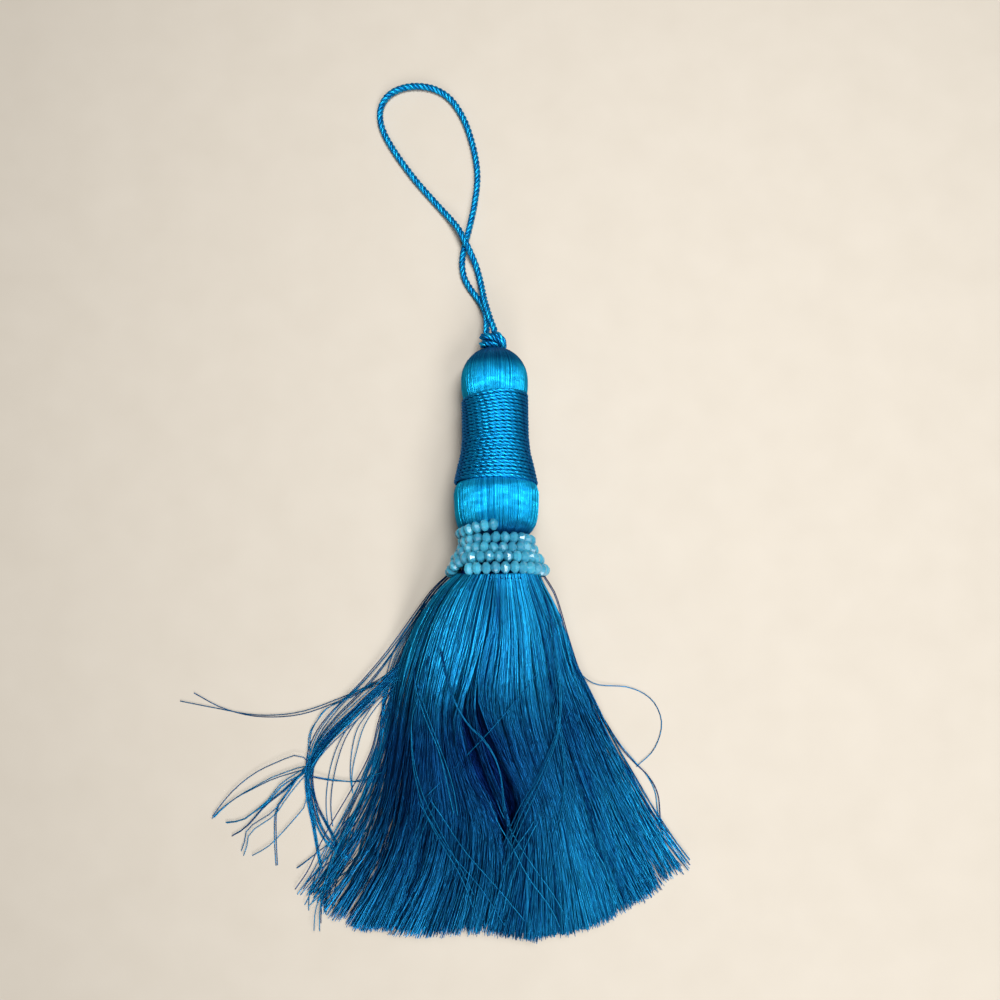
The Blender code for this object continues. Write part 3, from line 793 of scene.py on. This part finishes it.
# %% Skirt map
ROOT_RADIUS = 13.9 * MM
STATION_WAYS = (0.0, 0.05, 0.15, 0.31, 0.53, 0.79, 1.0)
SPREAD_LEFT = (0.0, 0.12, 0.265, 0.395, 0.51, 0.69, 1.0)
SPREAD_RIGHT = (0.0, 0.05, 0.155, 0.26, 0.465, 0.735, 1.0)
CROWN = (34.0, 27.6, 24.1, 16.5, 11.5, 8.6, 7.0)
ROUNDNESS = (1.0, 0.72, 0.30, 0.07, 0.0, 0.0, 0.0)
HEM_SIDE = (-1.0, -0.88, -0.70, -0.35, -0.10, 0.18, 0.45, 0.78, 1.0)
HEM_X = (-68.4, -61.8, -49.5, -24.0, -8.0, 11.5, 29.4, 50.0, 65.0)
HEM_Y = (-108.3, -116.7, -121.2, -122.8, -121.0, -124.8, -121.6, -112.8, -102.5)
TABLE_STEPS = 200


def eased(way, values, ways=STATION_WAYS):
    """A value at a share of the way, from a smooth curve through the table's values."""
    curve = smooth_route(np.column_stack([ways, values, np.zeros(len(ways))]),
                         count=TABLE_STEPS)
    return np.interp(way, curve[:, 0], curve[:, 1])


def pile_places(side, level, way):
    """Where the thread with this side and level is at each share of the way to the hem."""
    hem_x = np.interp(side, HEM_SIDE, HEM_X) * MM
    hem_y = np.interp(side, HEM_SIDE, HEM_Y) * MM
    spread = np.where(side < 0, eased(way, SPREAD_LEFT), eased(way, SPREAD_RIGHT))
    x = ROOT_RADIUS * side * (1 - spread) + hem_x * spread
    y = COLLAR_Y + hem_y * way
    arch = np.sqrt(np.maximum(1.0 - side ** 2, 0.0))
    pile = eased(way, CROWN) * MM * (level + arch) / 2
    bundle = COLLAR_HEIGHT + ROOT_RADIUS * level
    round_share = eased(way, ROUNDNESS)
    return np.stack([x, y, bundle * round_share + pile * (1 - round_share)], axis=-1)


# %% [markdown]
# ## The bundle's threads
# The threads start at random places in the bundle's round section. Along both edges of the real
# skirt they lie apart, so only a third of those is kept. The ends are cut a little unevenly: by
# the lock, by the thread, and shorter low in the pile.

# %% Threads in the bundle
SKIRT_THREADS = 5400
SKIRT_RINGS = 15
LOCKS = 420
EDGE_SIDES = (-0.72, 0.84)
EDGE_KEPT = 0.32
LOCK_ENDS = (0.98, 1.0)
OWN_ENDS = (-0.010, 0.004)
LOW_LEVEL = -0.3
LOW_SHORTER = 0.05
RING_EASE = 1.2


def round_section(count):
    """Random places in the bundle's round section."""
    angle = rng.uniform(0.0, 2 * math.pi, count)
    radius = np.sqrt(rng.uniform(0.0, 1.0, count))
    return radius * np.cos(angle), radius * np.sin(angle)


def thinned_section(count):
    """Places in the section, with most of those at its two edges left out."""
    side, level = round_section(count)
    edge = (side < EDGE_SIDES[0]) | (side > EDGE_SIDES[1])
    kept = ~edge | (rng.uniform(0.0, 1.0, count) < EDGE_KEPT)
    return side[kept, None], level[kept, None]


def ways_to_hem(level, lock):
    """The even ways of a thread's rings, and each thread's own up to its uneven end."""
    count = len(level)
    end = rng.uniform(*LOCK_ENDS, LOCKS)[lock] + rng.uniform(*OWN_ENDS, count)
    end -= np.where(level[:, 0] < LOW_LEVEL, rng.uniform(0.0, LOW_SHORTER, count), 0.0)
    steps = np.linspace(0.0, 1.0, SKIRT_RINGS) ** RING_EASE
    shift = np.minimum(1.0, 4.0 * np.minimum(steps, 1.0 - steps)) / SKIRT_RINGS
    return steps, (steps + rng.uniform(-0.5, 0.5, (count, 1)) * shift) * end[:, None]


# %% [markdown]
# ## Locks and crossing threads
# Yarn doesn't lie evenly. Neighbours cling together in locks that are brighter or darker, each
# lock wanders a little, and a few threads cross all the others. So every thread is pulled
# towards the middle of its lock, pushed by its lock's slow wave and by a small one of its own,
# and drifts aside on the way to the hem.

# %% Waves and drift
HOLLOW_SIDE = -0.08
CROSSING_SHARE = 0.09
CROSSING_DRIFT = 0.13
OWN_DRIFT = 0.03
DRIFT_EASE = 1.5
CALM_SHARE = 0.8
CALM_REACH = 0.3
CLING_WAYS = (0.0, 0.15, 0.5, 0.85, 1.0)
CLING = (0.0, 0.15, 0.45, 0.5, 0.35)
# axis, size of a lock's wave and size of a thread's own
PILE_WAVES = ((0, 1.0 * MM, 0.5 * MM), (2, 0.6 * MM, 0.45 * MM))
LOCK_TURNS = 1.1
OWN_TURNS = 1.8


def slow_wave(count, way, size, turns):
    """A wave for each of the threads, in a random phase, that grows on the way to the hem."""
    phase = rng.uniform(0.0, 2 * math.pi, (count, 1))
    pace = rng.uniform(0.6, 1.4, (count, 1)) * turns
    height = rng.normal(0.0, size, (count, 1))
    return height * np.sin(2 * math.pi * pace * way + phase) * np.minimum(way * 2, 1.0)


def drift_aside(side, way):
    """How far threads go aside on their way: far for a few, and little beside the hollow."""
    count = len(side)
    size = np.where(rng.uniform(0.0, 1.0, count) < CROSSING_SHARE, CROSSING_DRIFT, OWN_DRIFT)
    drift = (size * rng.normal(0.0, 1.0, count))[:, None] * way ** DRIFT_EASE
    return drift * (1.0 - CALM_SHARE * np.exp(-((side - HOLLOW_SIDE) / CALM_REACH) ** 2))


# %% [markdown]
# ## Hollow
# In the middle the upper threads have parted round a slanting hollow, where the yarn below shows,
# darkened by painted shade. There the threads' sides are pushed away from the hollow's line, each
# to the side where it was. Tables say how the line bends on the way to the hem and how far it
# opens.

# %% Hollow
HOLLOW_WAYS = (0.0, 0.15, 0.30, 0.38, 0.46, 0.55, 0.62, 0.69, 0.80, 1.0)
HOLLOW_BEND = (0.0, -0.06, -0.16, -0.18, -0.11, 0.0, 0.09, 0.14, 0.13, 0.06)
HOLLOW_GAP = (0.0, 0.0, 0.05, 0.12, 0.16, 0.17, 0.15, 0.09, 0.02, 0.0)
HOLLOW_REACH = 0.45


def hollowed(side, level, way):
    """The sides of threads on their way, with the upper ones parted round the hollow."""
    apart = side - HOLLOW_SIDE
    near = np.exp(-(apart / HOLLOW_REACH) ** 2)
    gap = eased(way, HOLLOW_GAP, HOLLOW_WAYS) * np.clip(level * 2.0 + 1.0, 0.0, 1.0)
    pushed = np.sqrt(apart ** 2 + gap ** 2) - np.abs(apart)
    return side + eased(way, HOLLOW_BEND, HOLLOW_WAYS) * near + np.sign(apart) * pushed * near


# %% [markdown]
# ## Light in the pile
# The real skirt shines near the collar, is darkest half way down and shines a little again at
# the hem, more on the right than on the left. Inside the hollow and low in the pile it is dark.
# The lamps give a part of that, and the rest is painted shade from these tables.

# %% Light in the pile
# how lit the top threads are painted along the way, on the left and on the right: below 1 is
# painted shade
LIT_WAYS = (0.0, 0.15, 0.25, 0.35, 0.45, 0.60, 0.75, 0.90, 1.0)
LIT_LEFT = (1.0, 0.82, 0.76, 0.48, 0.10, 0.13, 0.24, 0.34, 0.44)
LIT_RIGHT = (1.0, 0.80, 0.70, 0.46, 0.28, 0.38, 0.70, 0.82, 0.72)
# the side from which on only the right table counts
RIGHT_SIDE = 0.8
# shares of the gap between which the painted shade ends, and the gap that is wide enough for full
# painted shade
HOLLOW_RIM = (0.78125, 1.09375)
DARK_GAP = 1.0 / 15.0
SMALLEST_GAP = 0.001
# the heights in the pile between which the threads come out of painted shade into the light
LIT_HEIGHTS = (0.375, 0.625)
THIN_PILE = 0.05


def height_in_pile(side, level):
    """How high threads lie, from 0 at the bottom to nearly 1 on top."""
    arch = np.sqrt(1.0 - side ** 2)
    return (level + arch) / (2 * arch + THIN_PILE)


def lit_on_top(side, way):
    """How lit a top thread is painted on its way, from 0 to 1, with full painted shade inside the
    hollow.
    """
    right = np.clip(side / RIGHT_SIDE, 0.0, 1.0)
    lit = (np.interp(way, LIT_WAYS, LIT_LEFT) * (1 - right)
           + np.interp(way, LIT_WAYS, LIT_RIGHT) * right)
    gap = np.maximum(eased(way, HOLLOW_GAP, HOLLOW_WAYS), SMALLEST_GAP)
    apart = np.abs(side - HOLLOW_SIDE - eased(way, HOLLOW_BEND, HOLLOW_WAYS)) / gap
    inside = np.interp(apart, HOLLOW_RIM, (1.0, 0.0)) * np.minimum(gap / DARK_GAP, 1.0)
    return lit * (1 - inside)


# %% Skirt routes
THREAD = 0.19 * MM
FLOOR_GAP = 0.03 * MM
LOCK_SHADE_SHARE = 0.45


def skirt_routes(count):
    """Routes for the skirt's threads, and for each how high it lies, how lit, and its shade."""
    side, level = thinned_section(count)
    lock_side, lock_level = round_section(LOCKS)
    apart = (side - lock_side) ** 2 + (level - lock_level) ** 2
    lock = apart.argmin(axis=1)
    steps, way = ways_to_hem(level, lock)
    drift = drift_aside(side, way)
    own_side = np.clip(hollowed(side, level, way) + drift, -1.0, 1.0)
    places = pile_places(own_side, level, way)
    centre_side, centre_level = lock_side[lock, None], lock_level[lock, None]
    centre_side = np.clip(hollowed(centre_side, centre_level, way) + drift, -1.0, 1.0)
    centres = pile_places(centre_side, centre_level, way)
    places += (centres - places) * np.interp(way, CLING_WAYS, CLING)[..., None]
    for axis, size, own in PILE_WAVES:
        of_lock = slow_wave(LOCKS, steps, size, LOCK_TURNS)
        places[..., axis] += of_lock[lock] + slow_wave(len(side), way, own, OWN_TURNS)
    places[..., 2] = np.maximum(places[..., 2], THREAD + FLOOR_GAP)
    height = height_in_pile(side, level)[:, 0]
    lit = np.maximum(np.interp(height, LIT_HEIGHTS, (0.0, 1.0)), np.abs(side[:, 0]) ** 3)
    lit = lit[:, None] * lit_on_top(own_side, way)
    shade = (LOCK_SHADE_SHARE * rng.uniform(0.0, 1.0, LOCKS)[lock]
             + (1 - LOCK_SHADE_SHARE) * rng.uniform(0.0, 1.0, len(side)))
    return places, height, lit, shade


# %% Skirt pieces
THREAD_SPIN = 350.0
THREAD_CORNERS = 3
THREAD_SIZES = (0.8, 1.1)
TIP_SIZE = 0.8
# piece, and the shares of the threads, counted from the lowest, between which it has them
LAYERS = (("skirt_under", 0.0, 0.33), ("skirt_middle", 0.33, 0.66), ("skirt_top", 0.66, 1.0))
places, height, lit, shade = skirt_routes(SKIRT_THREADS)
print(f"skirt: {len(places)} threads in {LOCKS} locks")
order = np.argsort(height)
taper = np.ones(SKIRT_RINGS)
taper[-1] = TIP_SIZE
for name, low, high in LAYERS:
    chosen = order[int(low * len(order)):int(high * len(order))]
    radii = rng.uniform(*THREAD_SIZES, (len(chosen), 1)) * THREAD * taper
    layer = lay_threads(name, places[chosen], radii, THREAD_CORNERS, skirt_finish,
                        lit=lit[chosen], shade=shade[chosen], spin=THREAD_SPIN)
    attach(layer, "root")
    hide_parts("skirt")

# %% [markdown]
# ## Stray threads
# A bundle of threads has swung out of the skirt on the left and lies on the table, where it fans
# out into thin wisps. On the right a single thread makes an open curl, and along both edges of
# the skirt loose threads run beside it with gaps between them. A few bright ones lie across the
# top. Each wisp is a handful of threads along one given route, and each thread keeps its own
# distance from the route.

# %% Strays
# scatter is how far a wisp's threads are apart, in millimetres, at five places along it
Wisp = namedtuple("Wisp", "threads scatter points")
ALONE = (0, 0, 0, 0, 0)
BUNDLE_WAY = ((-16.0, -14.0, 9.0), (-27.0, -26.0, 5.0), (-38.2, -36.5, 2.2),
              (-47.9, -45.3, 1.5), (-56.2, -53.0, 1.2), (-63.2, -60.5, 1.0),
              (-66.9, -66.5, 0.9))
BUNDLE_SCATTER = (0.8, 1.3, 1.3, 0.6, 0.5)
BUNDLE_WISPS = (
    (1, ((-71.5, -63.0, 0.6), (-79.7, -65.7, 0.6), (-86.8, -69.3, 0.5), (-93.2, -74.3, 0.5),
         (-97.7, -79.2, 0.4), (-101.2, -83.9, 0.4))),
    (2, ((-70.5, -67.5, 0.6), (-79.7, -70.4, 0.6), (-85.5, -73.2, 0.5), (-91.9, -76.5, 0.5),
         (-97.0, -80.2, 0.4), (-100.5, -83.6, 0.4))),
    (3, ((-70.6, -69.0, 0.6), (-77.1, -72.7, 0.6), (-82.2, -78.2, 0.5), (-87.3, -81.9, 0.5),
         (-91.2, -84.4, 0.4), (-96.6, -85.2, 0.4))),
    (3, ((-70.6, -69.9, 0.6), (-75.8, -74.6, 0.6), (-82.2, -79.5, 0.5), (-86.7, -84.4, 0.5),
         (-89.9, -87.5, 0.4), (-93.7, -89.6, 0.4))),
    (2, ((-71.2, -71.5, 0.6), (-75.7, -77.1, 0.6), (-79.6, -82.1, 0.5), (-87.9, -87.5, 0.5),
         (-89.2, -91.9, 0.4), (-90.5, -95.6, 0.4))),
    (2, ((-70.6, -70.2, 0.6), (-74.5, -75.9, 0.6), (-77.7, -80.2, 0.5), (-78.6, -83.9, 0.5),
         (-78.5, -92.7, 0.4), (-77.9, -100.2, 0.4))),
    (1, ((-68.0, -73.0, 0.6), (-68.8, -80.2, 0.6), (-72.5, -84.9, 0.5), (-80.8, -93.3, 0.5),
         (-87.2, -96.9, 0.4))),
    (6, ((-67.7, -67.8, 0.8), (-68.0, -74.1, 0.7), (-67.3, -80.4, 0.6), (-66.0, -86.7, 0.5),
         (-64.7, -94.2, 0.4), (-63.4, -100.4, 0.4))),
    (7, ((-67.4, -71.6, 0.8), (-66.0, -79.1, 0.7), (-64.1, -86.1, 0.6), (-60.9, -91.7, 0.6),
         (-57.6, -94.9, 0.6), (-53.0, -98.0, 1.0))),
    (5, ((-67.0, -72.5, 0.8), (-64.8, -80.1, 0.7), (-61.1, -87.1, 0.6), (-57.9, -93.7, 0.6),
         (-56.6, -102.9, 0.6))),
)
TABLE_WISPS = (
    # the two longest threads, at the far left
    Wisp(1, ALONE, ((-14.0, -12.0, 13.0), (-25.0, -23.5, 6.0), (-35.2, -31.9, 1.6),
                    (-43.7, -37.7, 0.6), (-55.4, -43.0, 0.3), (-70.6, -48.0, 0.3),
                    (-85.7, -48.8, 0.3), (-100.6, -46.1, 0.3), (-113.0, -43.5, 0.3))),
    Wisp(1, ALONE, ((-14.0, -13.0, 13.0), (-26.0, -25.0, 6.0), (-35.9, -33.3, 1.4),
                    (-44.4, -38.7, 0.5), (-56.1, -44.1, 0.3), (-70.6, -48.9, 0.3),
                    (-85.7, -49.3, 0.3), (-98.1, -46.1, 0.3), (-108.1, -40.8, 0.3))),
    # the open curl on the right
    Wisp(1, ALONE, ((17.0, -20.0, 12.0), (22.0, -29.0, 7.0), (27.5, -35.0, 2.6),
                    (34.1, -40.0, 0.8), (45.8, -41.4, 0.3), (53.8, -45.9, 0.3),
                    (57.0, -53.9, 0.3), (54.1, -62.8, 0.3), (47.6, -68.8, 0.4))),
    # thin arcs round the bundle
    Wisp(2, (1, 0.8, 0.5, 0.5, 0.5), ((-40.0, -36.0, 1.2), (-50.7, -41.0, 0.8),
                                      (-60.9, -46.2, 0.6), (-64.8, -50.6, 0.5),
                                      (-67.1, -55.1, 0.5), (-67.4, -61.4, 0.6),
                                      (-67.7, -67.1, 0.8))),
    Wisp(2, (1, 1, 0.8, 0.6, 0.5), ((-36.0, -38.0, 2.2), (-46.6, -48.1, 0.6),
                                    (-53.5, -57.0, 0.5), (-57.2, -65.5, 0.4),
                                    (-59.2, -74.2, 0.3), (-59.6, -81.5, 0.3),
                                    (-58.9, -88.0, 0.3))),
    Wisp(2, (1, 1, 0.8, 0.6, 0.5), ((-35.0, -36.0, 2.0), (-43.0, -45.6, 0.7),
                                    (-48.4, -53.4, 0.5), (-50.9, -61.1, 0.4),
                                    (-51.9, -68.7, 0.4), (-51.5, -75.5, 0.5))),
    Wisp(2, (0.3, 0.3, 0.4, 0.5, 0.5), ((-66.1, -70.3, 1.2), (-59.6, -71.7, 0.6),
                                        (-52.5, -72.4, 0.5), (-47.3, -71.3, 1.2),
                                        (-41.0, -69.5, 2.4))),
    Wisp(2, (0.5, 0.4, 0.4, 0.4, 0.5), ((-48.1, -80.0, 2.4), (-55.1, -86.8, 1.6),
                                        (-58.9, -92.4, 0.6), (-64.7, -96.7, 0.4),
                                        (-71.1, -101.5, 0.3))),
    # loose dark threads along the lower left edge
    Wisp(12, (0.8, 1.2, 1.8, 2.2, 2.8), ((-33.3, -34.1, 2.0), (-40.0, -50.3, 1.0),
                                         (-42.6, -61.2, 0.9), (-46.6, -71.0, 0.8),
                                         (-51.1, -81.3, 0.8), (-57.8, -94.7, 0.7),
                                         (-62.0, -102.9, 0.6), (-67.5, -110.0, 0.5))),
    Wisp(12, (0.8, 1.2, 1.8, 2.2, 2.6), ((-34.0, -38.3, 2.0), (-41.3, -61.6, 1.0),
                                         (-45.8, -72.9, 0.9), (-51.0, -83.5, 0.8),
                                         (-55.5, -92.7, 0.8), (-58.7, -102.0, 0.7),
                                         (-61.3, -109.9, 0.6), (-61.6, -116.3, 0.5))),
    Wisp(8, (0.8, 1.2, 1.8, 2.2, 2.6), ((-36.7, -55.4, 1.8), (-40.0, -68.0, 1.6),
                                        (-45.2, -79.2, 1.4), (-49.1, -89.7, 1.2),
                                        (-52.3, -97.0, 1.0), (-57.4, -104.1, 0.7),
                                        (-63.1, -109.6, 0.5))),
    # loose threads along the right edge
    Wisp(2, (0.4, 0.5, 0.9, 1.2, 1.2), ((16.2, -1.1, 17.0), (19.9, -7.1, 15.0),
                                        (22.2, -14.0, 12.6), (24.9, -23.2, 9.0),
                                        (29.0, -34.7, 4.5),
                                        (35.0, -46.3, 2.0), (39.1, -57.6, 1.2),
                                        (45.4, -68.5, 0.8), (52.3, -82.0, 0.6),
                                        (56.7, -93.2, 0.5), (63.1, -102.5, 0.5))),
    Wisp(9, (0.6, 0.8, 1.2, 1.4, 1.6), ((13.5, -3.0, 15.0), (18.0, -16.6, 10.0),
                                        (26.3, -33.9, 5.0), (34.2, -51.1, 2.0),
                                        (40.4, -63.2, 1.2), (47.4, -75.6, 0.8),
                                        (57.4, -94.1, 0.6), (63.0, -102.2, 0.5))),
    Wisp(9, (0.5, 0.8, 1.4, 1.6, 1.6), ((16.5, -14.9, 10.0), (22.5, -28.5, 6.0),
                                        (29.4, -42.8, 3.0), (33.4, -55.7, 2.0),
                                        (38.0, -68.6, 1.5), (44.2, -78.1, 1.2),
                                        (51.1, -90.0, 1.0), (58.5, -103.1, 0.6))),
    Wisp(2, (0.4, 0.4, 0.6, 0.8, 0.8), ((33.4, -46.8, 2.0), (41.4, -60.8, 1.2),
                                        (46.2, -66.6, 0.5), (51.0, -71.5, 0.3),
                                        (54.0, -77.8, 0.3), (54.6, -86.8, 0.4),
                                        (55.6, -93.8, 0.5))),
    # loose threads along the upper left edge
    Wisp(6, (0.4, 0.9, 1.2, 1.2, 0.7), ((-15.5, 0.0, 17.0), (-21.9, -6.2, 12.0),
                                        (-27.9, -14.1, 7.0), (-34.1, -22.4, 3.4),
                                        (-40.4, -30.6, 1.6), (-48.3, -39.8, 0.9),
                                        (-57.3, -48.8, 0.8), (-63.9, -57.4, 0.8),
                                        (-67.2, -66.0, 0.8), (-67.6, -78.0, 0.6))),
    Wisp(9, (0.4, 0.8, 1.0, 1.0, 1.0), ((-15.9, -3.6, 16.0), (-23.6, -10.5, 9.0),
                                        (-30.1, -19.4, 4.5), (-36.2, -29.9, 1.8),
                                        (-40.0, -43.8, 1.0), (-42.0, -58.8, 0.8),
                                        (-48.0, -75.8, 0.8))),
)
# threads that lie on top of the pile, with the height of the pile under them
TOP_WISPS = (
    Wisp(4, (0.5, 0.8, 0.9, 1.0, 1.6), ((15.4, -8.6, 19.5), (17.4, -16.6, 18.6),
                                        (18.9, -29.9, 15.2), (20.1, -39.4, 13.2),
                                        (20.3, -47.2, 12.4), (19.5, -54.9, 11.8),
                                        (16.2, -63.3, 11.2), (12.6, -70.9, 10.9),
                                        (9.4, -76.9, 10.5), (6.6, -83.0, 10.2),
                                        (3.0, -92.4, 9.6))),
    Wisp(2, (0.6, 0.5, 0.4, 0.4, 0.5), ((-19.4, -25.0, 20.0), (-17.4, -35.0, 17.8),
                                        (-14.6, -43.6, 16.0), (-10.5, -50.6, 14.6),
                                        (-6.4, -54.6, 14.0), (-2.7, -60.3, 13.0),
                                        (-0.5, -66.7, 11.8), (0.2, -72.8, 11.2),
                                        (0.5, -79.8, 10.2))),
    Wisp(2, (0.6, 0.7, 0.8, 1.0, 1.6), ((-20.1, -16.6, 17.0), (-25.1, -30.6, 15.6),
                                        (-27.9, -39.5, 12.7), (-30.5, -46.7, 10.7),
                                        (-31.1, -56.1, 9.5), (-30.2, -66.3, 8.8),
                                        (-27.1, -76.9, 8.9), (-22.5, -86.0, 9.0),
                                        (-15.7, -99.0, 8.4), (-12.0, -109.0, 7.8))),
    Wisp(1, ALONE, ((18.5, -28.3, 12.0), (13.7, -32.4, 16.0), (7.6, -39.9, 16.2),
                    (-1.7, -50.7, 14.4), (-12.0, -61.8, 11.0), (-25.5, -75.3, 8.0),
                    (-31.9, -80.9, 5.0))),
    Wisp(2, (0.6, 0.6, 0.7, 0.8, 1.0), ((17.0, -35.0, 11.6), (19.1, -47.0, 13.0),
                                        (21.0, -56.6, 11.1), (21.7, -67.6, 9.8),
                                        (21.1, -76.7, 9.5), (18.6, -86.6, 9.0))),
    Wisp(2, (0.5, 0.6, 0.7, 0.8, 0.9), ((24.3, -55.2, 6.0), (29.3, -65.2, 7.9),
                                        (34.0, -73.2, 6.9), (36.9, -82.6, 6.4),
                                        (38.2, -93.2, 6.3), (38.0, -105.0, 6.2))),
    Wisp(2, (0.5, 0.6, 0.6, 0.7, 0.8), ((-29.0, -30.0, 9.6), (-27.9, -38.7, 12.8),
                                        (-24.9, -47.9, 12.6), (-20.5, -60.4, 11.4),
                                        (-17.6, -70.5, 10.6), (-16.0, -80.5, 10.0))),
    Wisp(2, (1.4, 1.4, 1.6, 1.8, 2.2), ((-6.0, -74.0, 4.5), (-2.8, -82.4, 7.6),
                                        (2.2, -91.4, 9.2), (8.2, -101.5, 8.8),
                                        (12.7, -108.5, 8.2), (17.2, -117.3, 7.2))),
    Wisp(2, (1.4, 1.4, 1.6, 1.8, 2.2), ((17.0, -73.0, 4.5), (12.9, -80.9, 7.6),
                                        (6.9, -89.9, 9.2), (2.1, -99.1, 9.0),
                                        (-1.1, -106.7, 8.4), (-3.6, -116.3, 7.4))),
    Wisp(2, (1.4, 1.4, 1.6, 1.8, 2.2), ((-34.0, -64.0, 2.0), (-30.3, -73.7, 5.6),
                                        (-23.3, -83.7, 8.2), (-15.6, -95.1, 8.8),
                                        (-6.5, -106.7, 8.2), (1.8, -118.7, 7.0))),
    Wisp(2, (1.4, 1.4, 1.6, 1.8, 2.2), ((-16.0, -62.0, 4.0), (-19.0, -69.0, 6.5),
                                        (-22.0, -76.0, 7.6), (-28.0, -88.0, 8.0),
                                        (-33.0, -100.0, 7.4), (-40.0, -117.0, 5.4))),
    Wisp(2, (1.4, 1.4, 1.6, 1.8, 2.2), ((19.0, -62.0, 4.0), (24.0, -74.0, 6.5),
                                        (30.0, -88.0, 7.2), (36.0, -100.0, 6.6),
                                        (42.0, -110.0, 5.4))),
)


# %% Stray routes
STRAY_RINGS = 34
STRAY_WAVE = 0.4
STRAY_TURNS = 1.6
# how much of a thread's scatter goes along the tassel, and how much upwards
SCATTER_ALONG = 0.7
SCATTER_UP = 0.35
stray_way = np.linspace(0.0, 1.0, STRAY_RINGS)


def wisp_routes(wisp):
    """The threads of one wisp, each at its own distance from the wisp's route."""
    middle = smooth_route(from_collar(wisp.points), count=STRAY_RINGS)
    size = np.interp(stray_way, np.linspace(0.0, 1.0, len(wisp.scatter)), wisp.scatter) * MM
    routes = []
    for _ in range(wisp.threads):
        aside = rng.normal(0.0, 1.0, 2)[:, None] * size
        waves = slow_wave(2, stray_way, STRAY_WAVE, STRAY_TURNS) * size
        route = middle.copy()
        route[:, 0] += aside[0] + waves[0]
        route[:, 1] += SCATTER_ALONG * aside[1] + waves[1]
        route[:, 2] += SCATTER_UP * np.abs(aside[1])
        routes.append(route)
    return routes


def all_routes(wisps):
    """The routes of several wisps, none of them below the table."""
    routes = np.array([route for wisp in wisps for route in wisp_routes(wisp)])
    routes[..., 2] = np.maximum(routes[..., 2], THREAD + FLOOR_GAP)
    return routes


bundle = [Wisp(threads, BUNDLE_SCATTER, (*BUNDLE_WAY, *points))
          for threads, points in BUNDLE_WISPS]
stray_routes = all_routes((*bundle, *TABLE_WISPS))
top_routes = all_routes(TOP_WISPS)
print(f"strays: {len(stray_routes)} threads, and {len(top_routes)} on top")

# %% Stray pieces
STRAY_RADIUS = 0.9 * THREAD
STRAY_CORNERS = 4
STRAY_LIT_WAYS = (0.0, 0.33, 1.0)
# piece, its threads' routes, the range of their shades, and how lit they are painted at the three
# ways, below 1 as painted shade
STRAY_PIECES = (
    ("skirt_strays", stray_routes, (0.0, 0.7), (0.1, 0.6, 0.8)),
    ("skirt_crossing", top_routes, (0.3, 0.9), (0.0, 0.6, 0.6)),
)
for name, routes, shades, lit in STRAY_PIECES:
    layer = lay_threads(name, routes, STRAY_RADIUS, STRAY_CORNERS, skirt_finish,
                        lit=np.interp(stray_way, STRAY_LIT_WAYS, lit),
                        shade=rng.uniform(*shades, len(routes)), spin=THREAD_SPIN)
    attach(layer, "root")
    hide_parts("skirt")

# %% [markdown]
# ## Floor and light
# A plain pale floor carries the tassel. Silky threads shine where a lamp stands across them, so
# there are three soft square lamps. The key lamp hangs above, a little to the right and towards
# the loop. One stands further right, and one shines low from beyond the hem. The world fills
# the shadows.

# %% Floor and light
FLOOR_REACH = 25.0
FLOOR_CLOUDS = 60.0
floor_finish = Finish("floor", Roughness=0.7, Specular_IOR_Level=0.2)
floor_clouds = floor_finish.noise(floor_finish.place(), FLOOR_CLOUDS)
floor_finish.colour(floor_finish.mix(floor_clouds, (0.50, 0.45, 0.38, 1.0),
                                     (0.54, 0.49, 0.42, 1.0)))
bm = bmesh.new()
bmesh.ops.create_grid(bm, x_segments=1, y_segments=1, size=FLOOR_REACH)
mesh = bpy.data.meshes.new("floor")
bm.to_mesh(mesh)
bm.free()
floor = add_piece("floor", mesh, floor_finish)

# %% Lamps
def soft_lamp(name, place, target, size, power):
    """A square lamp that faces a target: places and size in metres, power in watts."""
    light = bpy.data.lights.new(name, "AREA")
    light.size = size
    light.energy = power
    lamp = bpy.data.objects.new(name, light)
    lamp.location = place
    lamp.rotation_euler = (Vector(target) - Vector(place)).to_track_quat("-Z", "Y").to_euler()
    bpy.context.scene.collection.objects.link(lamp)


soft_lamp("key", (0.10, 0.12, 0.62), (0.0, -0.05, 0.0), 0.28, 4.8)
soft_lamp("side", (0.34, -0.30, 0.60), (0.0, -0.10, 0.0), 0.26, 2.0)
soft_lamp("front", (0.12, -0.72, 0.42), (0.0, -0.10, 0.0), 0.28, 3.0)
world = bpy.data.worlds.new("room")
world.use_nodes = True
background = world.node_tree.nodes["Background"]
background.inputs["Color"].default_value = (0.95, 0.97, 1.0, 1.0)
background.inputs["Strength"].default_value = 0.08
bpy.context.scene.world = world
